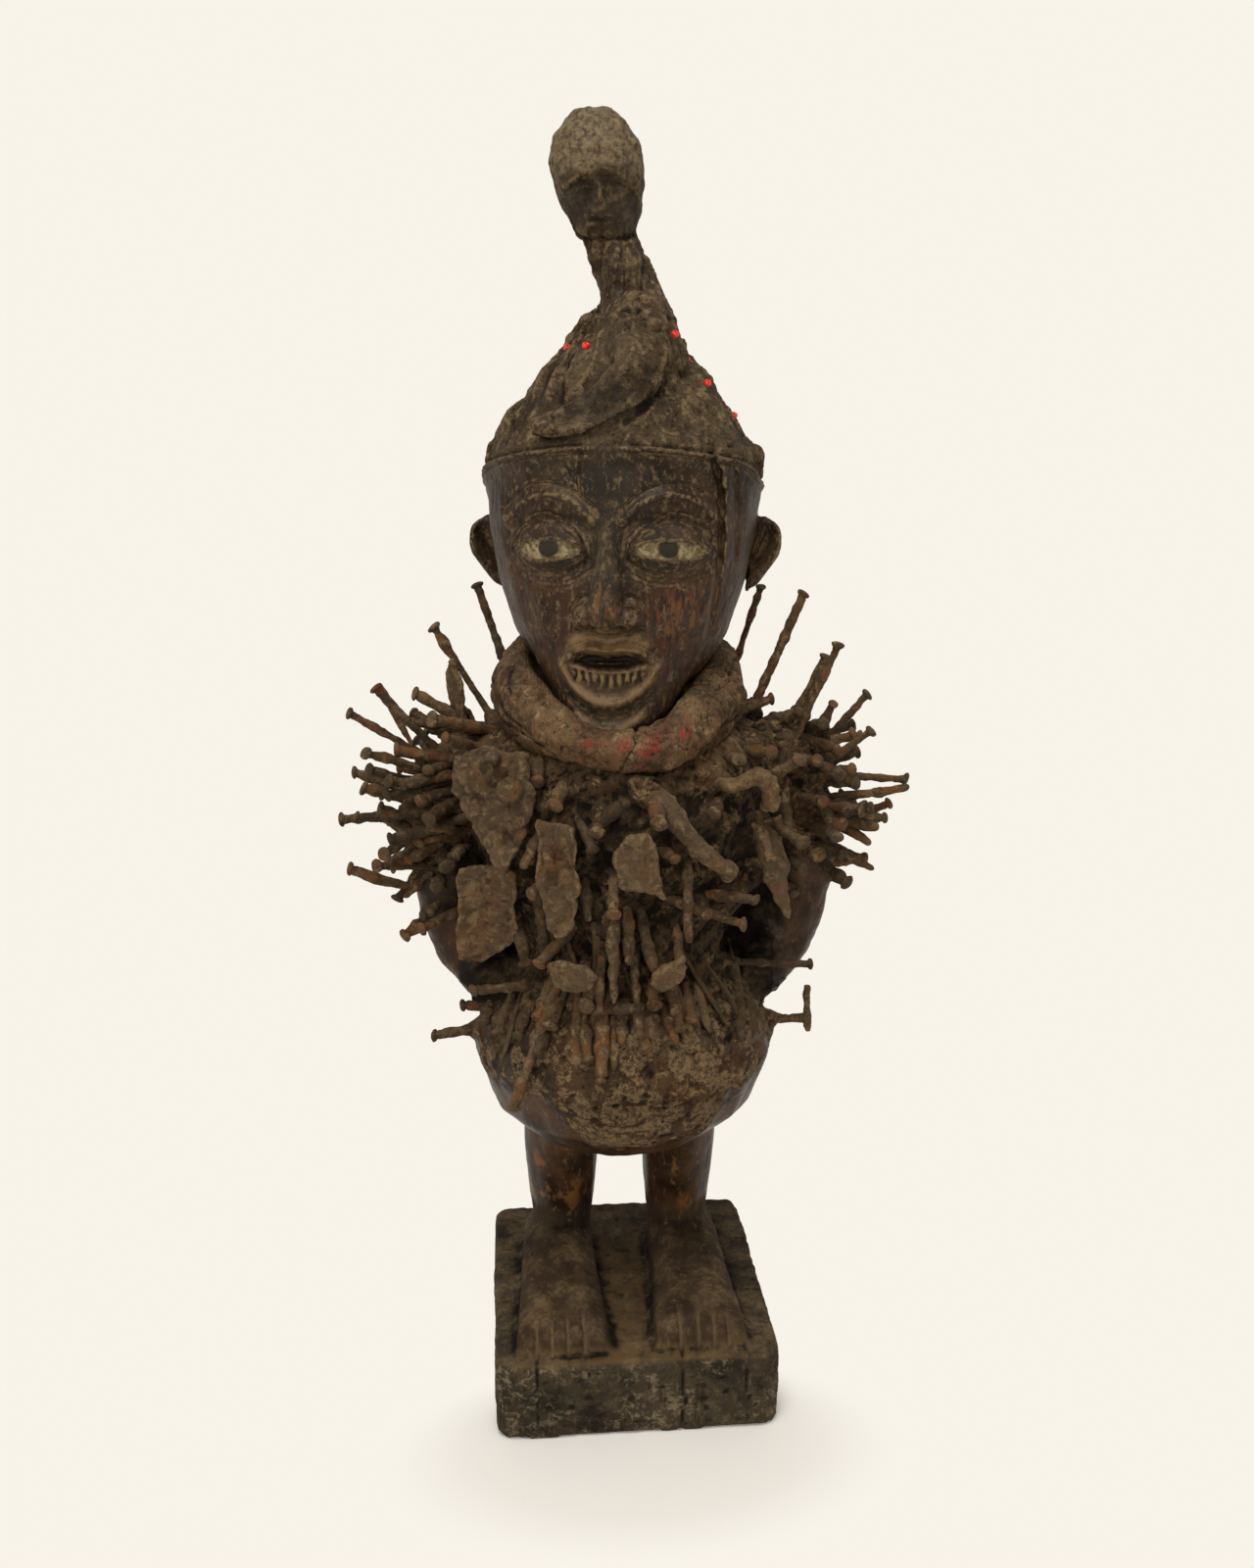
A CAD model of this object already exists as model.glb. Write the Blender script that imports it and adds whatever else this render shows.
import math
import bmesh
import bpy
import numpy as np
from mathutils import Matrix, Vector
from mathutils.bvhtree import BVHTree


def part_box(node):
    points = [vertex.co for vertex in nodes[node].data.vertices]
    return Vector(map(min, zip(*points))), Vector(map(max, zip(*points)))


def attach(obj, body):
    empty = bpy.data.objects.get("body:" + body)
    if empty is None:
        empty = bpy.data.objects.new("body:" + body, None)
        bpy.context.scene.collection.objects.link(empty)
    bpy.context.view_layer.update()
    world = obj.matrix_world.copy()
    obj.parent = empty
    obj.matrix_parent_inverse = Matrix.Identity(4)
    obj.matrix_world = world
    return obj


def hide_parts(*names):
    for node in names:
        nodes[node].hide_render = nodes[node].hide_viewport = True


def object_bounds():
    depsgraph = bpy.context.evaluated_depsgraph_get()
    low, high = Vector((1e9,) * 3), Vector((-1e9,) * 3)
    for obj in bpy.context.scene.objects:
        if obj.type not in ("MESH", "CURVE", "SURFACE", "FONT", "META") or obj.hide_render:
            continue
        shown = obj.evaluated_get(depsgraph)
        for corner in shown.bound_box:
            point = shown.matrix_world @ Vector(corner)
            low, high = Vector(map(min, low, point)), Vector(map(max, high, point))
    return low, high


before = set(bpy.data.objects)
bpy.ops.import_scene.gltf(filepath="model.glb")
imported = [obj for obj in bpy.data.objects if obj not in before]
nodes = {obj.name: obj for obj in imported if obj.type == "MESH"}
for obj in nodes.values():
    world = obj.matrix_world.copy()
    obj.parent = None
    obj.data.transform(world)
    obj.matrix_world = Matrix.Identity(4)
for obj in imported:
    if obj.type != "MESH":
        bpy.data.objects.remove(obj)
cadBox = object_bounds()
scene = bpy.context.scene
shelf = scene.collection

# All carving sums are in millimetres, in the frame's own axes, and turned into metres at the end.

cameraValues = {
    "place": (-0.059, -0.677, 0.498),
    "lens": 32.83,
    "sensor": 36.0,  # along the photo's longer side
    "tiltDown": 14.96,
    "turnRight": 5.0,
    "photoSize": (1280, 1600),
}


def makeCamera():
    lens = bpy.data.cameras.new("photoCamera")
    lens.lens = cameraValues["lens"]
    lens.sensor_width = cameraValues["sensor"]
    made = bpy.data.objects.new("photoCamera", lens)
    shelf.objects.link(made)
    made.location = cameraValues["place"]
    tilt, turn = math.radians(90 - cameraValues["tiltDown"]), math.radians(cameraValues["turnRight"])
    made.rotation_euler = (tilt, 0, -turn)
    scene.camera = made


def photoRay(across, down):  # the eye, and the line of sight through a place in the photo
    wide, tall = cameraValues["photoSize"]
    reach = cameraValues["lens"] / cameraValues["sensor"] * tall
    pitch, turn = math.radians(cameraValues["tiltDown"]), math.radians(cameraValues["turnRight"])
    ahead = np.array([math.sin(turn) * math.cos(pitch), math.cos(turn) * math.cos(pitch), -math.sin(pitch)])
    right = np.array([math.cos(turn), -math.sin(turn), 0.0])
    up = np.cross(right, ahead)
    line = ahead + right * (across - wide / 2) / reach - up * (down - tall / 2) / reach
    return np.array(cameraValues["place"]) * 1000, line / np.linalg.norm(line)


def viewAxis():  # the line of sight through the photo's middle
    wide, tall = cameraValues["photoSize"]
    return photoRay(wide / 2, tall / 2)[1]


makeCamera()
print("camera set")


# Sums shared by all the carving

def ramp(low, high, value):  # eases from 0 at the low place to 1 at the high one
    part = np.clip((value - low) / (high - low), 0, 1)
    return part * part * (3 - 2 * part)


def hill(away, width, power=2):  # 1 in the middle, fading out over the width
    return np.exp(-(away / width) ** power)


def shuffled(order, cell):  # a number from 0 to 255 for each cell of a grid
    mixed = order[cell[:, 0] & 255] + cell[:, 1]
    return order[(order[mixed & 255] + cell[:, 2]) & 255]


def softNoise(points, size, seed=0):  # smooth lumps of about that size, from -1 to 1
    dice = np.random.RandomState(seed)
    order = dice.permutation(256)
    slopes = dice.normal(size=(256, 3))
    slopes /= np.linalg.norm(slopes, axis=1)[:, None]
    spot = points / size
    corner = np.floor(spot).astype(int)
    part = spot - corner
    ease = part ** 3 * (part * (part * 6 - 15) + 10)
    total = np.zeros(len(points))
    for step in np.ndindex(2, 2, 2):
        share = np.where(step, ease, 1 - ease).prod(axis=1)
        total += share * (slopes[shuffled(order, corner + step)] * (part - step)).sum(axis=1)
    return total * 1.7


def layeredNoise(points, size, seed=0, layers=3):  # each layer is half as large and half as strong
    total = np.zeros(len(points))
    for layer in range(layers):
        total += 0.5 ** layer * softNoise(points, np.asarray(size) * 0.5 ** layer, seed + 11 * layer)
    return total


def cellNoise(points, size, seed=0):  # distance to the nearest seat, and how far the next one is beyond it
    dice = np.random.RandomState(seed)
    order = dice.permutation(256)
    seats = dice.random_sample((256, 3))
    spot = points / size
    corner = np.floor(spot).astype(int)
    first = np.full(len(points), 9.0)
    second = first.copy()
    for step in np.ndindex(3, 3, 3):
        near = corner + np.array(step) - 1
        away = np.linalg.norm(near + seats[shuffled(order, near)] - spot, axis=1)
        second = np.minimum(second, np.maximum(first, away))
        first = np.minimum(first, away)
    return first, second - first


def shiftNoise(points, size, seeds):  # a separate noise for each axis
    return np.stack([softNoise(points, size, seed) for seed in seeds], 1)


def rounded(path, rounds=2):  # cuts the corners of a drawn path
    path = np.array(path, float)
    for _ in range(rounds):
        start, end = path[:-1], path[1:]
        cut = np.stack([start * 0.75 + end * 0.25, start * 0.25 + end * 0.75], 1)
        path = np.concatenate([path[:1], cut.reshape(-1, path.shape[1]), path[-1:]])
    return path


def nearPath(spots, path):  # how far each spot is from a drawn path
    best = np.full(len(spots), 1e9)
    for start, end in zip(path, path[1:]):
        run = end - start
        part = np.clip(((spots - start) @ run) / max(run @ run, 1e-9), 0, 1)
        best = np.minimum(best, np.linalg.norm(spots - start - part[:, None] * run, axis=1))
    return best


def drawn(spots, path, width):  # 1 along a drawn path, fading out over its width
    return hill(nearPath(spots, rounded(path)), width)


def mirrored(path):
    return [(-across, height) for across, height in path]


class Carving:
    # A closed mesh of four-sided faces kept as arrays, so that formulas can cut and smooth it
    def __init__(self, points, quads):
        self.points = points
        self.quads = quads
        self.marks = {}
        self.pairs = np.concatenate([quads[:, [k, (k + 1) % 4]] for k in range(4)])
        self.meets = np.bincount(self.pairs.ravel(), minlength=len(points))[:, None]

    def around(self, values):  # the mean of each point's neighbours
        flat = values.reshape(len(values), -1)
        total = np.stack([
            np.bincount(self.pairs[:, 0], flat[self.pairs[:, 1], k], len(flat))
            + np.bincount(self.pairs[:, 1], flat[self.pairs[:, 0], k], len(flat))
            for k in range(flat.shape[1])
        ], 1)
        return (total / np.maximum(self.meets, 1)).reshape(values.shape)

    def soften(self, rounds, share=0.5):
        share = share if np.isscalar(share) else share[:, None]
        for _ in range(rounds):
            self.points += (self.around(self.points) - self.points) * share

    def normals(self):
        first, second, third, fourth = (self.points[self.quads[:, k]] for k in range(4))
        across = np.cross(third - first, fourth - second)
        count = len(self.points)
        total = np.stack([
            sum(np.bincount(self.quads[:, corner], across[:, axis], count) for corner in range(4))
            for axis in range(3)
        ], 1)
        return total / np.maximum(np.linalg.norm(total, axis=1), 1e-9)[:, None]

    def push(self, amount, way=None):  # outwards along the surface's own normals, or a given way
        self.points += amount[:, None] * (self.normals() if way is None else way)

    def mark(self, name, amount):  # keeps the stronger of what is there and what is added
        self.marks[name] = np.maximum(self.marks.get(name, 0), amount)

    def hollows(self, rounds):  # above 0 in creases and below 0 on edges, in millimetres
        here, facing = self.points.copy(), self.normals()
        self.soften(rounds)
        depth = ((self.points - here) * facing).sum(axis=1)
        self.points = here
        return depth

    def show(self, name, material, slotName, standsFor=(), chosen=None):
        facing = self.normals()
        quads = self.quads if chosen is None else self.quads[chosen]
        kept, quads = np.unique(quads, return_inverse=True)
        quads = quads.reshape(-1, 4)
        mesh = bpy.data.meshes.new(name)
        mesh.vertices.add(len(kept))
        mesh.vertices.foreach_set("co", (self.points[kept] * 0.001).ravel())
        mesh.loops.add(quads.size)
        mesh.loops.foreach_set("vertex_index", quads.ravel())
        mesh.polygons.add(len(quads))
        mesh.polygons.foreach_set("loop_start", np.arange(0, quads.size, 4))
        mesh.polygons.foreach_set("use_smooth", np.ones(len(quads), bool))
        mesh.update(calc_edges=True)
        if chosen is not None:  # the two sides of a split share their shading, so that no seam shows
            mesh.normals_split_custom_set_from_vertices(facing[kept].tolist())
        marks = {mark: values[kept] for mark, values in self.marks.items()}
        finishPiece(name, mesh, marks, material, standsFor)

    def showHalves(self, height, names, material):  # the carved figure's pieces below and above a height
        upper = self.points[self.quads].mean(axis=1)[:, 2] > height
        for name, chosen in zip(names, (~upper, upper)):
            self.show(name, material, "wood", ["carved_figure"], chosen)


def finishPiece(name, mesh, marks, material, standsFor=()):
    for mark, values in marks.items():
        layer = mesh.attributes.new(mark, "FLOAT", "POINT")
        layer.data.foreach_set("value", np.clip(values, -1, 1).astype(np.float32))
    piece = bpy.data.objects.new(name, mesh)
    shelf.objects.link(piece)
    mesh.materials.append(material)
    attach(piece, "root")
    if standsFor:
        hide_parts(*standsFor)


def placesOf(mesh):
    places = np.empty(len(mesh.vertices) * 3)
    mesh.vertices.foreach_get("co", places)
    return places.reshape(-1, 3)


def solidFrom(name):  # a CAD node as a bmesh in millimetres
    solid = bmesh.new()
    solid.from_mesh(nodes[name].data)
    bmesh.ops.remove_doubles(solid, verts=solid.verts, dist=1e-6)
    bmesh.ops.scale(solid, vec=(1000, 1000, 1000), verts=solid.verts)
    return solid


def recast(solid, grid):  # fuses a bmesh in millimetres and gives it even faces
    mesh = bpy.data.meshes.new("recast")
    solid.to_mesh(mesh)
    solid.free()
    holder = bpy.data.objects.new("recast", mesh)
    shelf.objects.link(holder)
    step = holder.modifiers.new("grid", "REMESH")
    step.mode = "VOXEL"
    step.voxel_size = grid
    even = holder.evaluated_get(bpy.context.evaluated_depsgraph_get()).to_mesh()
    corners = np.empty(len(even.loops), np.int32)
    even.loops.foreach_get("vertex_index", corners)
    made = Carving(placesOf(even), corners.reshape(-1, 4))
    bpy.data.objects.remove(holder)
    bpy.data.meshes.remove(mesh)
    return made


def surfaceOf(carving):  # for sight lines that look for the wood
    return BVHTree.FromPolygons(carving.points.tolist(), carving.quads.tolist())


# Places on the figure, in millimetres

figureValues = {
    "middle": -2.0,  # the figure's own line, a little left of the block's
    "neckCut": 351.8,  # trunk and head part here, inside the roll
    "headTurn": math.radians(-11),
    "trunkGrid": 1.6,
    "headGrid": 0.95,
    "blockTop": 42.0,
    "footSpread": 34.5,
    "baseCut": 150.0,  # the pieces are parted again here, in the legs,
    "capCut": 480.0,  # and here, at the cap's hem
    "moundWidth": 6.5,
    "mouth": 9.0,  # how deep the irons are sunk
    "moundSeed": 4,
    "boxGap": 0.02,  # how far the carving stays inside the CAD's box
}

nailNames = sorted(name for name in nodes if name.startswith("nail_"))
flatNames = ["plate_right_breast", "plate_right_waist", "plate_centre", "plate_left_breast", "disc_belly",
             "shell_chest", "leaf_belly", "knife_right_shoulder", "hinge_left_hip"]
barNames = ["hook_left_breast", "horn_chest", "spike_belly"]


def ironRoot(name):  # where a driven iron enters the wood, where it ends, and the way it points out
    places = placesOf(nodes[name].data) * 1000
    middle = places.mean(axis=0)
    axis = np.linalg.svd(places - middle)[2][0]
    along = (places - middle) @ axis
    out = np.array([middle[0] - figureValues["middle"], middle[1], 0.0])
    if "nail" in name:  # its widest part is the head
        spread = np.linalg.norm(places - middle - along[:, None] * axis, axis=1)
        backward = along[spread > spread.max() * 0.8].mean() < 0
    else:
        backward = axis @ out < 0
    if backward:
        axis, along = -axis, -along
    return middle + axis * along.min(), middle + axis * along.max(), axis


def halfFigure(upper):
    solid = solidFrom("carved_figure")
    bmesh.ops.bisect_plane(
        solid, geom=solid.verts[:] + solid.edges[:] + solid.faces[:],
        plane_co=(0, 0, figureValues["neckCut"]), plane_no=(0, 0, 1),
        clear_outer=not upper, clear_inner=upper,
    )
    bmesh.ops.holes_fill(solid, edges=[edge for edge in solid.edges if edge.is_boundary], sides=0)
    return solid


def addMound(solid, place, axis, wide, tall):  # a lump of crust round an iron's root
    turned = Vector(axis).to_track_quat("Z", "Y").to_matrix().to_4x4()
    shape = Matrix.Translation(place) @ turned @ Matrix.Diagonal((wide, wide, tall, 1))
    bmesh.ops.create_icosphere(solid, subdivisions=2, radius=1, matrix=shape)


trunkValues = {
    "crustFrom": (196, 232),  # heights over which the crust begins
    "plainArms": (262, 292),  # the forearms below this are bare wood
    "lumps": ((19, 2.3), (8.5, 1.5), (3.8, 0.6)),  # size and height of the crust's lumps
    "crackCells": 15,
    "crackDepth": 1.7,
    "crumbSize": 4.2,
    "wrinkleStep": 6.5,
    "wrinkleDepth": 0.9,
    "drips": ((-26, 5.0), (-12, 4.0), (20, 6.0), (33, 4.5), (52, 5.0)),  # place across and width
    "dripDepth": 1.5,
    "facets": 0.56,  # height of the knife's marks on the bare wood
    "underCrust": 0.16,  # the lumps' height there
}


def castTrunk():  # everything below the neck, with a mound of crust at the root of each iron
    solid = halfFigure(False)
    dice = np.random.RandomState(figureValues["moundSeed"])
    for name in nailNames + flatNames + barNames:
        root, _, axis = ironRoot(name)
        wide = figureValues["moundWidth"] * dice.uniform(0.85, 1.25)
        mouth = root + axis * figureValues["mouth"]
        addMound(solid, mouth - axis * 4, axis, wide * (0.8 if "arm" in name else 1), 9)
        addMound(solid, mouth + axis * 3, axis, 4.2, dice.uniform(6, 11))
    return recast(solid, figureValues["trunkGrid"])


def carveTrunk():
    v = trunkValues
    made = castTrunk()
    p = made.points
    side, height = p[:, 0] - figureValues["middle"], p[:, 2]
    # even out the facets before the finer cuts, less on the block
    block = 1 - ramp(figureValues["blockTop"] - 0.5, figureValues["blockTop"] + 3, height)
    made.soften(8, 0.5 * (1 - 0.75 * block))
    foot = ramp(130, 100, height) * (1 - block)
    trunk = ramp(150, 190, height)
    onArm = ramp(70, 80, abs(side)) * trunk
    made.soften(24, 0.5 * onArm * ramp(300, 280, height))
    wander = softNoise(p, 22, 31) * 14 + softNoise(p, 8, 32) * 9
    crust = ramp(*v["crustFrom"], height + wander + 14 * ramp(-20, 30, -p[:, 1]))
    crust *= 1 - onArm * (1 - ramp(*v["plainArms"], height + wander))

    # crusted lumps with cracks between them
    for number, (size, tall) in enumerate(v["lumps"]):
        lumps = softNoise(p, size, 40 + number)
        shaped = np.abs(lumps) ** 0.8 * np.sign(lumps) + 0.2
        made.push(shaped * tall * (v["underCrust"] * trunk + (1 - v["underCrust"]) * crust))
    bent = p + shiftNoise(p, 7, (51, 52, 53)) * 4
    gap = cellNoise(bent, v["crackCells"], 54)[1]
    some = ramp(-0.05, 0.35, softNoise(p, 30, 55))
    made.push(-ramp(0.09, 0.0, gap) * some * crust * v["crackDepth"])
    made.push((0.45 - cellNoise(bent, v["crumbSize"], 56)[0]) * crust)

    # the hips' heavy rim of old offerings: flakes, and wrinkles that sag over the legs
    centre = ramp(52, 20, abs(side - 6))
    rim = ramp(168 - 28 * centre, 181 - 28 * centre, height) * ramp(240, 220, height) * ramp(14, -18, p[:, 1])
    flakes = ramp(-0.1, 0.08, softNoise(bent, 15, 61) + 0.6 * softNoise(bent, 5, 62) + 0.14 * centre)
    made.push((flakes * 0.8 + layeredNoise(p * [1, 0.6, 0.5], 9, 63) * 0.7 - 0.3) * rim)
    sag = np.sqrt((side * 0.6 - 4) ** 2 + (height - 222) ** 2) + softNoise(p, 17, 64) * 9
    wrinkles = np.cos(sag / v["wrinkleStep"] * 2 * math.pi)
    wrinkles *= ramp(34, 14, abs(side - 6)) * ramp(190, 178, height)
    made.push(wrinkles * ramp(-0.2, 0.4, softNoise(p, 10, 66)) * v["wrinkleDepth"] * rim)
    for across, width in v["drips"]:
        reach = ramp(158 + abs(across) * 0.2, 172, height) * ramp(206, 190, height) * ramp(0, -20, p[:, 1])
        made.push(hill(side - across - softNoise(p, 20, 65) * 3, width) * v["dripDepth"] * reach)

    # legs, arms and hips keep the knife's long facets
    bare = (1 - crust) * (1 - block)
    made.push(softNoise(p, np.array([9, 9, 34]), 71) * v["facets"] * bare)
    made.push(layeredNoise(p, 7, 73) * 0.3 * bare * trunk)

    made.mark("crust", np.maximum(crust, rim * (0.36 + 0.4 * centre)))
    made.mark("dust", np.maximum(rim * flakes * 0.78, 0.5 * ramp(0.0, 0.5, softNoise(p, 12, 72)) * trunk))
    # dust lies on the block between the feet and before the toes
    between = ramp(14, 9, abs(side)) * ramp(50, 20, p[:, 1])
    before = ramp(-60, -65, p[:, 1]) * ramp(66, 54, abs(side))
    made.mark("strip", np.maximum(between, before) * ramp(40, 41.5, height) * ramp(47, 44, height))
    # old blackness in the gap between each arm and the waist
    within = ramp(44, 52, abs(side)) * ramp(86, 78, abs(side))
    within *= ramp(204, 214, height) * ramp(300, 276, height)
    made.mark("gap", within * ramp(-34, -14, p[:, 1]) * ramp(30, 14, p[:, 1]))
    carveFeet(made, foot)
    carveBlock(made, block)
    return made


footValues = {
    "toeLine": -65.0,
    "toeLong": 21.0,
    "toeEdges": (-22.0, -10.5, -2.0, 6.0, 13.5, 21.0),  # big toe on the inside
    "shorter": 2.5,  # each gap between toes than the one before
    "grooveWidth": 1.1,
    "grooveDepth": 3.4,
    "nailScale": 0.55,
}


def carveFeet(made, foot):
    v = footValues
    made.marks["toes"] = np.zeros(len(made.points))
    for turn in (-1, 1):
        across = made.points[:, 0] - figureValues["middle"] - turn * figureValues["footSpread"]
        ahead = made.points[:, 1] - v["toeLine"]
        near = ramp(30, 26, abs(across)) * foot * ramp(66, 60, made.points[:, 2])
        edges = turn * np.array(v["toeEdges"])
        narrow = v["grooveWidth"] * (1 - 0.5 * ramp(2, v["toeLong"], ahead))
        for number, edge in enumerate(edges[1:-1]):
            end = v["toeLong"] - number * v["shorter"]
            reach = ramp(end, end - 12, ahead)
            cut = hill(across - edge - ahead * 0.02 * turn, narrow)
            made.push(-cut * v["grooveDepth"] * near * reach)
            made.mark("toes", cut * near * reach)
        for inner, outer in zip(edges, edges[1:]):
            middle, half = (inner + outer) / 2, abs(outer - inner) / 2
            top = np.clip(1 - ((across - middle) / half) ** 2, 0, 1)
            made.push(top * near * reach)
            # the nail sits as a flat scale near the tip
            scale = hill(across - middle, half * 0.62, 4) * hill(ahead - 3.8, 3.0, 4)
            made.push(scale * v["nailScale"] * near * ramp(46, 50, made.points[:, 2]))


blockValues = {
    "chips": 1.1, "chipSize": 9, "crackDepth": 1.7, "crackWidth": 0.65,
    # splits: place along the face, how far down from the top, how open, and the face
    "splits": (
        (-50, 38, 0.6, "front"), (-24, 12, 0.5, "front"), (22, 42, 1.0, "front"), (54, 30, 0.5, "front"),
        (-18, 36, 1.0, "side"), (30, 30, 1.0, "side"), (4, 40, 1.0, "back"),
    ),
}


def carveBlock(made, block):
    v = blockValues
    p = made.points
    made.push((softNoise(p, 26, 81) - 0.4) * 0.7 * block)
    made.push(softNoise(p, np.array([5, 5, 16]), 82) * 0.35 * block)
    made.push(-ramp(0.1, 0.5, softNoise(p, np.array([9, 9, 5]), 85)) * 0.5 * block)
    edge = ramp(0.0, 0.35, -made.hollows(6))
    chips = ramp(0.1, 0.6, softNoise(p, v["chipSize"], 83)) * v["chips"]
    made.push(-chips * edge * block * ramp(4, 12, p[:, 2]))
    # upright splits in the front and the flanks, wandering along the grain
    p = made.points
    facing = {
        "front": ramp(-60, -66, p[:, 1]),
        "back": ramp(60, 66, p[:, 1]),
        "side": ramp(60, 64, abs(p[:, 0])),
    }
    for place, reach, opened, face in v["splits"]:
        along = p[:, 1] if face == "side" else p[:, 0]
        wander = softNoise(p * [0, 0, 1] + [place, 0, 0], 11, 84) * 1.6
        cut = hill(along - place - wander, v["crackWidth"]) * ramp(42 - reach, 46 - reach, p[:, 2])
        cut *= ramp(41, 36, p[:, 2]) if face == "back" else 1
        made.push(-cut * v["crackDepth"] * opened * facing[face] * block)
    # the underside stays flat, and nothing passes the CAD's box
    low, high = (np.array(corner) * 1000 for corner in cadBox)
    made.points = np.clip(made.points, low + figureValues["boxGap"], high - figureValues["boxGap"])
    made.points[made.points[:, 2] < 1.2, 2] = 0.0


headValues = {
    "rise": 5.0,  # how far the carved features stand above the solid's
    "eyeOut": 27.0, "eyeHeight": 431.0, "eyeWide": 15.0, "lidTall": 4.6,
    "socketDepth": 3.6, "eyeSwell": 4.8, "eyeDepth": 1.5, "pupil": 4.7,
    "nose": {"wingOut": 9.5, "wingHeight": 402.5, "wingRise": 2.6, "holeOut": 6.2, "holeHeight": 397.4},
    "earSwell": 0.7, "earInward": 9.5, "bowlDepth": 4.6, "foldRise": 2.2,
    "jawNarrows": 0.055,
    "mouthDepth": 3.0, "lipRise": 1.3, "toothGap": 3.7, "toothDepth": 1.9,
    "grain": 0.2,
    # carved lines: path across and up, width, depth (below 0 raises); first those cut on both sides
    "pairs": (
        # the upper lid's folds, the lower lid's folds, the brow and the cut above it
        ([(8, 427), (12, 436), (20, 442.5), (30, 443.5), (39, 438.5), (45, 430)], 1.0, 1.5),
        ([(9, 431), (15, 441), (24, 447), (34, 446.5), (43, 440)], 0.8, 0.9),
        ([(10, 426), (19, 421.5), (29, 420.5), (38, 423), (45, 429)], 0.9, 1.2),
        ([(8, 421.5), (17, 416.5), (29, 415), (40, 418.5)], 1.3, 0.8),
        ([(6, 443), (14, 451.5), (26, 455.5), (38, 452), (48, 443)], 2.0, -2.1),
        ([(8, 450.5), (16, 457), (27, 460.5), (39, 457), (49, 448)], 0.9, 1.2),
        # round the nose's wings, and from there to the mouth
        ([(5, 407.5), (8, 411.5), (12, 411), (15.5, 407), (16.4, 401.5), (14.5, 397.5)], 1.1, 1.1),
        ([(-15, 395), (-18.5, 390), (-20.5, 384)], 0.9, 0.9),
    ),
    "lines": (
        # under the nose
        ([(-15, 396.5), (-7, 395.4), (0, 394.6), (7, 395.4), (15, 396.5)], 1.2, 1.5),
        ([(0, 393.5), (0, 389)], 2.4, 0.7),
        # the upper lip and the cut above it, the lower lip, the cut below it, and the chin
        ([(-22, 381), (-16, 386.5), (-8, 389.8), (0, 386.6), (8, 389.8), (16, 386.5), (22, 381)], 1.5, -2.2),
        ([(-23, 381.5), (-16, 389.5), (-8, 392.4), (0, 389.6), (8, 392.4), (16, 389.5), (23, 381.5)],
         0.7, 0.9),
        ([(-22, 379.5), (-16, 371), (-8, 366.8), (0, 365.6), (8, 366.8), (16, 371), (22, 379.5)], 1.8, -2.8),
        ([(-18, 367.4), (-8, 361.9), (0, 360.6), (8, 361.9), (18, 367.4)], 1.6, 3.2),
        ([(-15, 361), (-7, 356), (0, 354), (7, 356), (15, 361)], 1.8, -2.4),
    ),
    # a hair line in the brow, and two long splits by the temple with a ridge between them
    "splits": (
        ([(-12, 487), (-11.2, 475), (-13, 466), (-12.4, 456)], 0.7, 1.5),
        ([(43, 483), (45.5, 466), (48.5, 446), (47.5, 420), (43, 392)], 1.4, 3.6),
        ([(47.5, 470), (51, 452), (50, 424)], 1.3, -1.2),
        ([(51, 482), (54, 455), (54, 425)], 1.1, 2.4),
    ),
}


def headPlaces(points):  # the head's own frame: u to its left, v towards its back, and height
    turn = -figureValues["headTurn"]
    x, y = points[:, 0] - figureValues["middle"], points[:, 1]
    across = x * math.cos(turn) - y * math.sin(turn)
    return np.stack([across, x * math.sin(turn) + y * math.cos(turn), points[:, 2]], 1)


def castHead():  # smooth where the features will be; also gives the places before that, and two masks
    values = headValues
    made = recast(halfFigure(True), figureValues["headGrid"])
    made.soften(5)
    local = headPlaces(made.points)
    u, v, z = local.T
    made.points[:, 2] += values["rise"] * ramp(-8, -26, v) * ramp(354, 374, z) * ramp(480, 458, z)
    front = ramp(-12, -26, v) * ramp(484, 476, z) * ramp(350, 354, z)
    smooth = np.zeros(len(u))
    for turn in (-1, 1):
        socket = np.hypot((u - turn * values["eyeOut"]) / 20, (z - 434) / 16)
        smooth = np.maximum(smooth, ramp(1.5, 0.8, socket))
    smooth = np.maximum(smooth, ramp(1.4, 0.9, np.hypot(u / 26, (z - 376) / 15))) * front
    smooth = np.maximum(smooth, ramp(10, 5, abs(z - capHem(v))) * 0.9)
    ear = ramp(50, 54, abs(u)) * ramp(392, 398, z) * ramp(462, 452, z) * ramp(-30, -24, v)
    smooth = np.maximum(smooth, ear * 0.9)
    made.soften(70, 0.5 * smooth)
    made.soften(4)
    return made, local, front, smooth


def carveEars(made, u, ahead):  # a leaf with a rolled rim round a bowl, drawn in towards the lobe
    values = headValues
    out, deep, level = headPlaces(made.points).T
    out = abs(out)
    leaf = ramp(56, 60, out) * ramp(404, 410, level) * ramp(458, 452, level) * ramp(0, 5, deep)
    inward = -np.sign(u) * leaf * ramp(440, 411, level) * ramp(57, 70, out) * values["earInward"]
    turn = figureValues["headTurn"]
    made.points[:, :2] += inward[:, None] * [math.cos(turn), math.sin(turn)]
    made.push(leaf * values["earSwell"])
    fore = leaf * ramp(13.5, 11, deep)
    middle = 66.5 - 0.2 * (438 - level).clip(0, 30)
    bowl = hill(out - middle, 6.0, 4) * hill(level - 434, 13, 4)
    made.push(bowl * fore * -values["bowlDepth"], ahead)
    fold = hill(out - middle + 1.0, 1.5) * hill(level - 431, 8)
    made.push(fold * fore * values["foldRise"], ahead)


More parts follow.
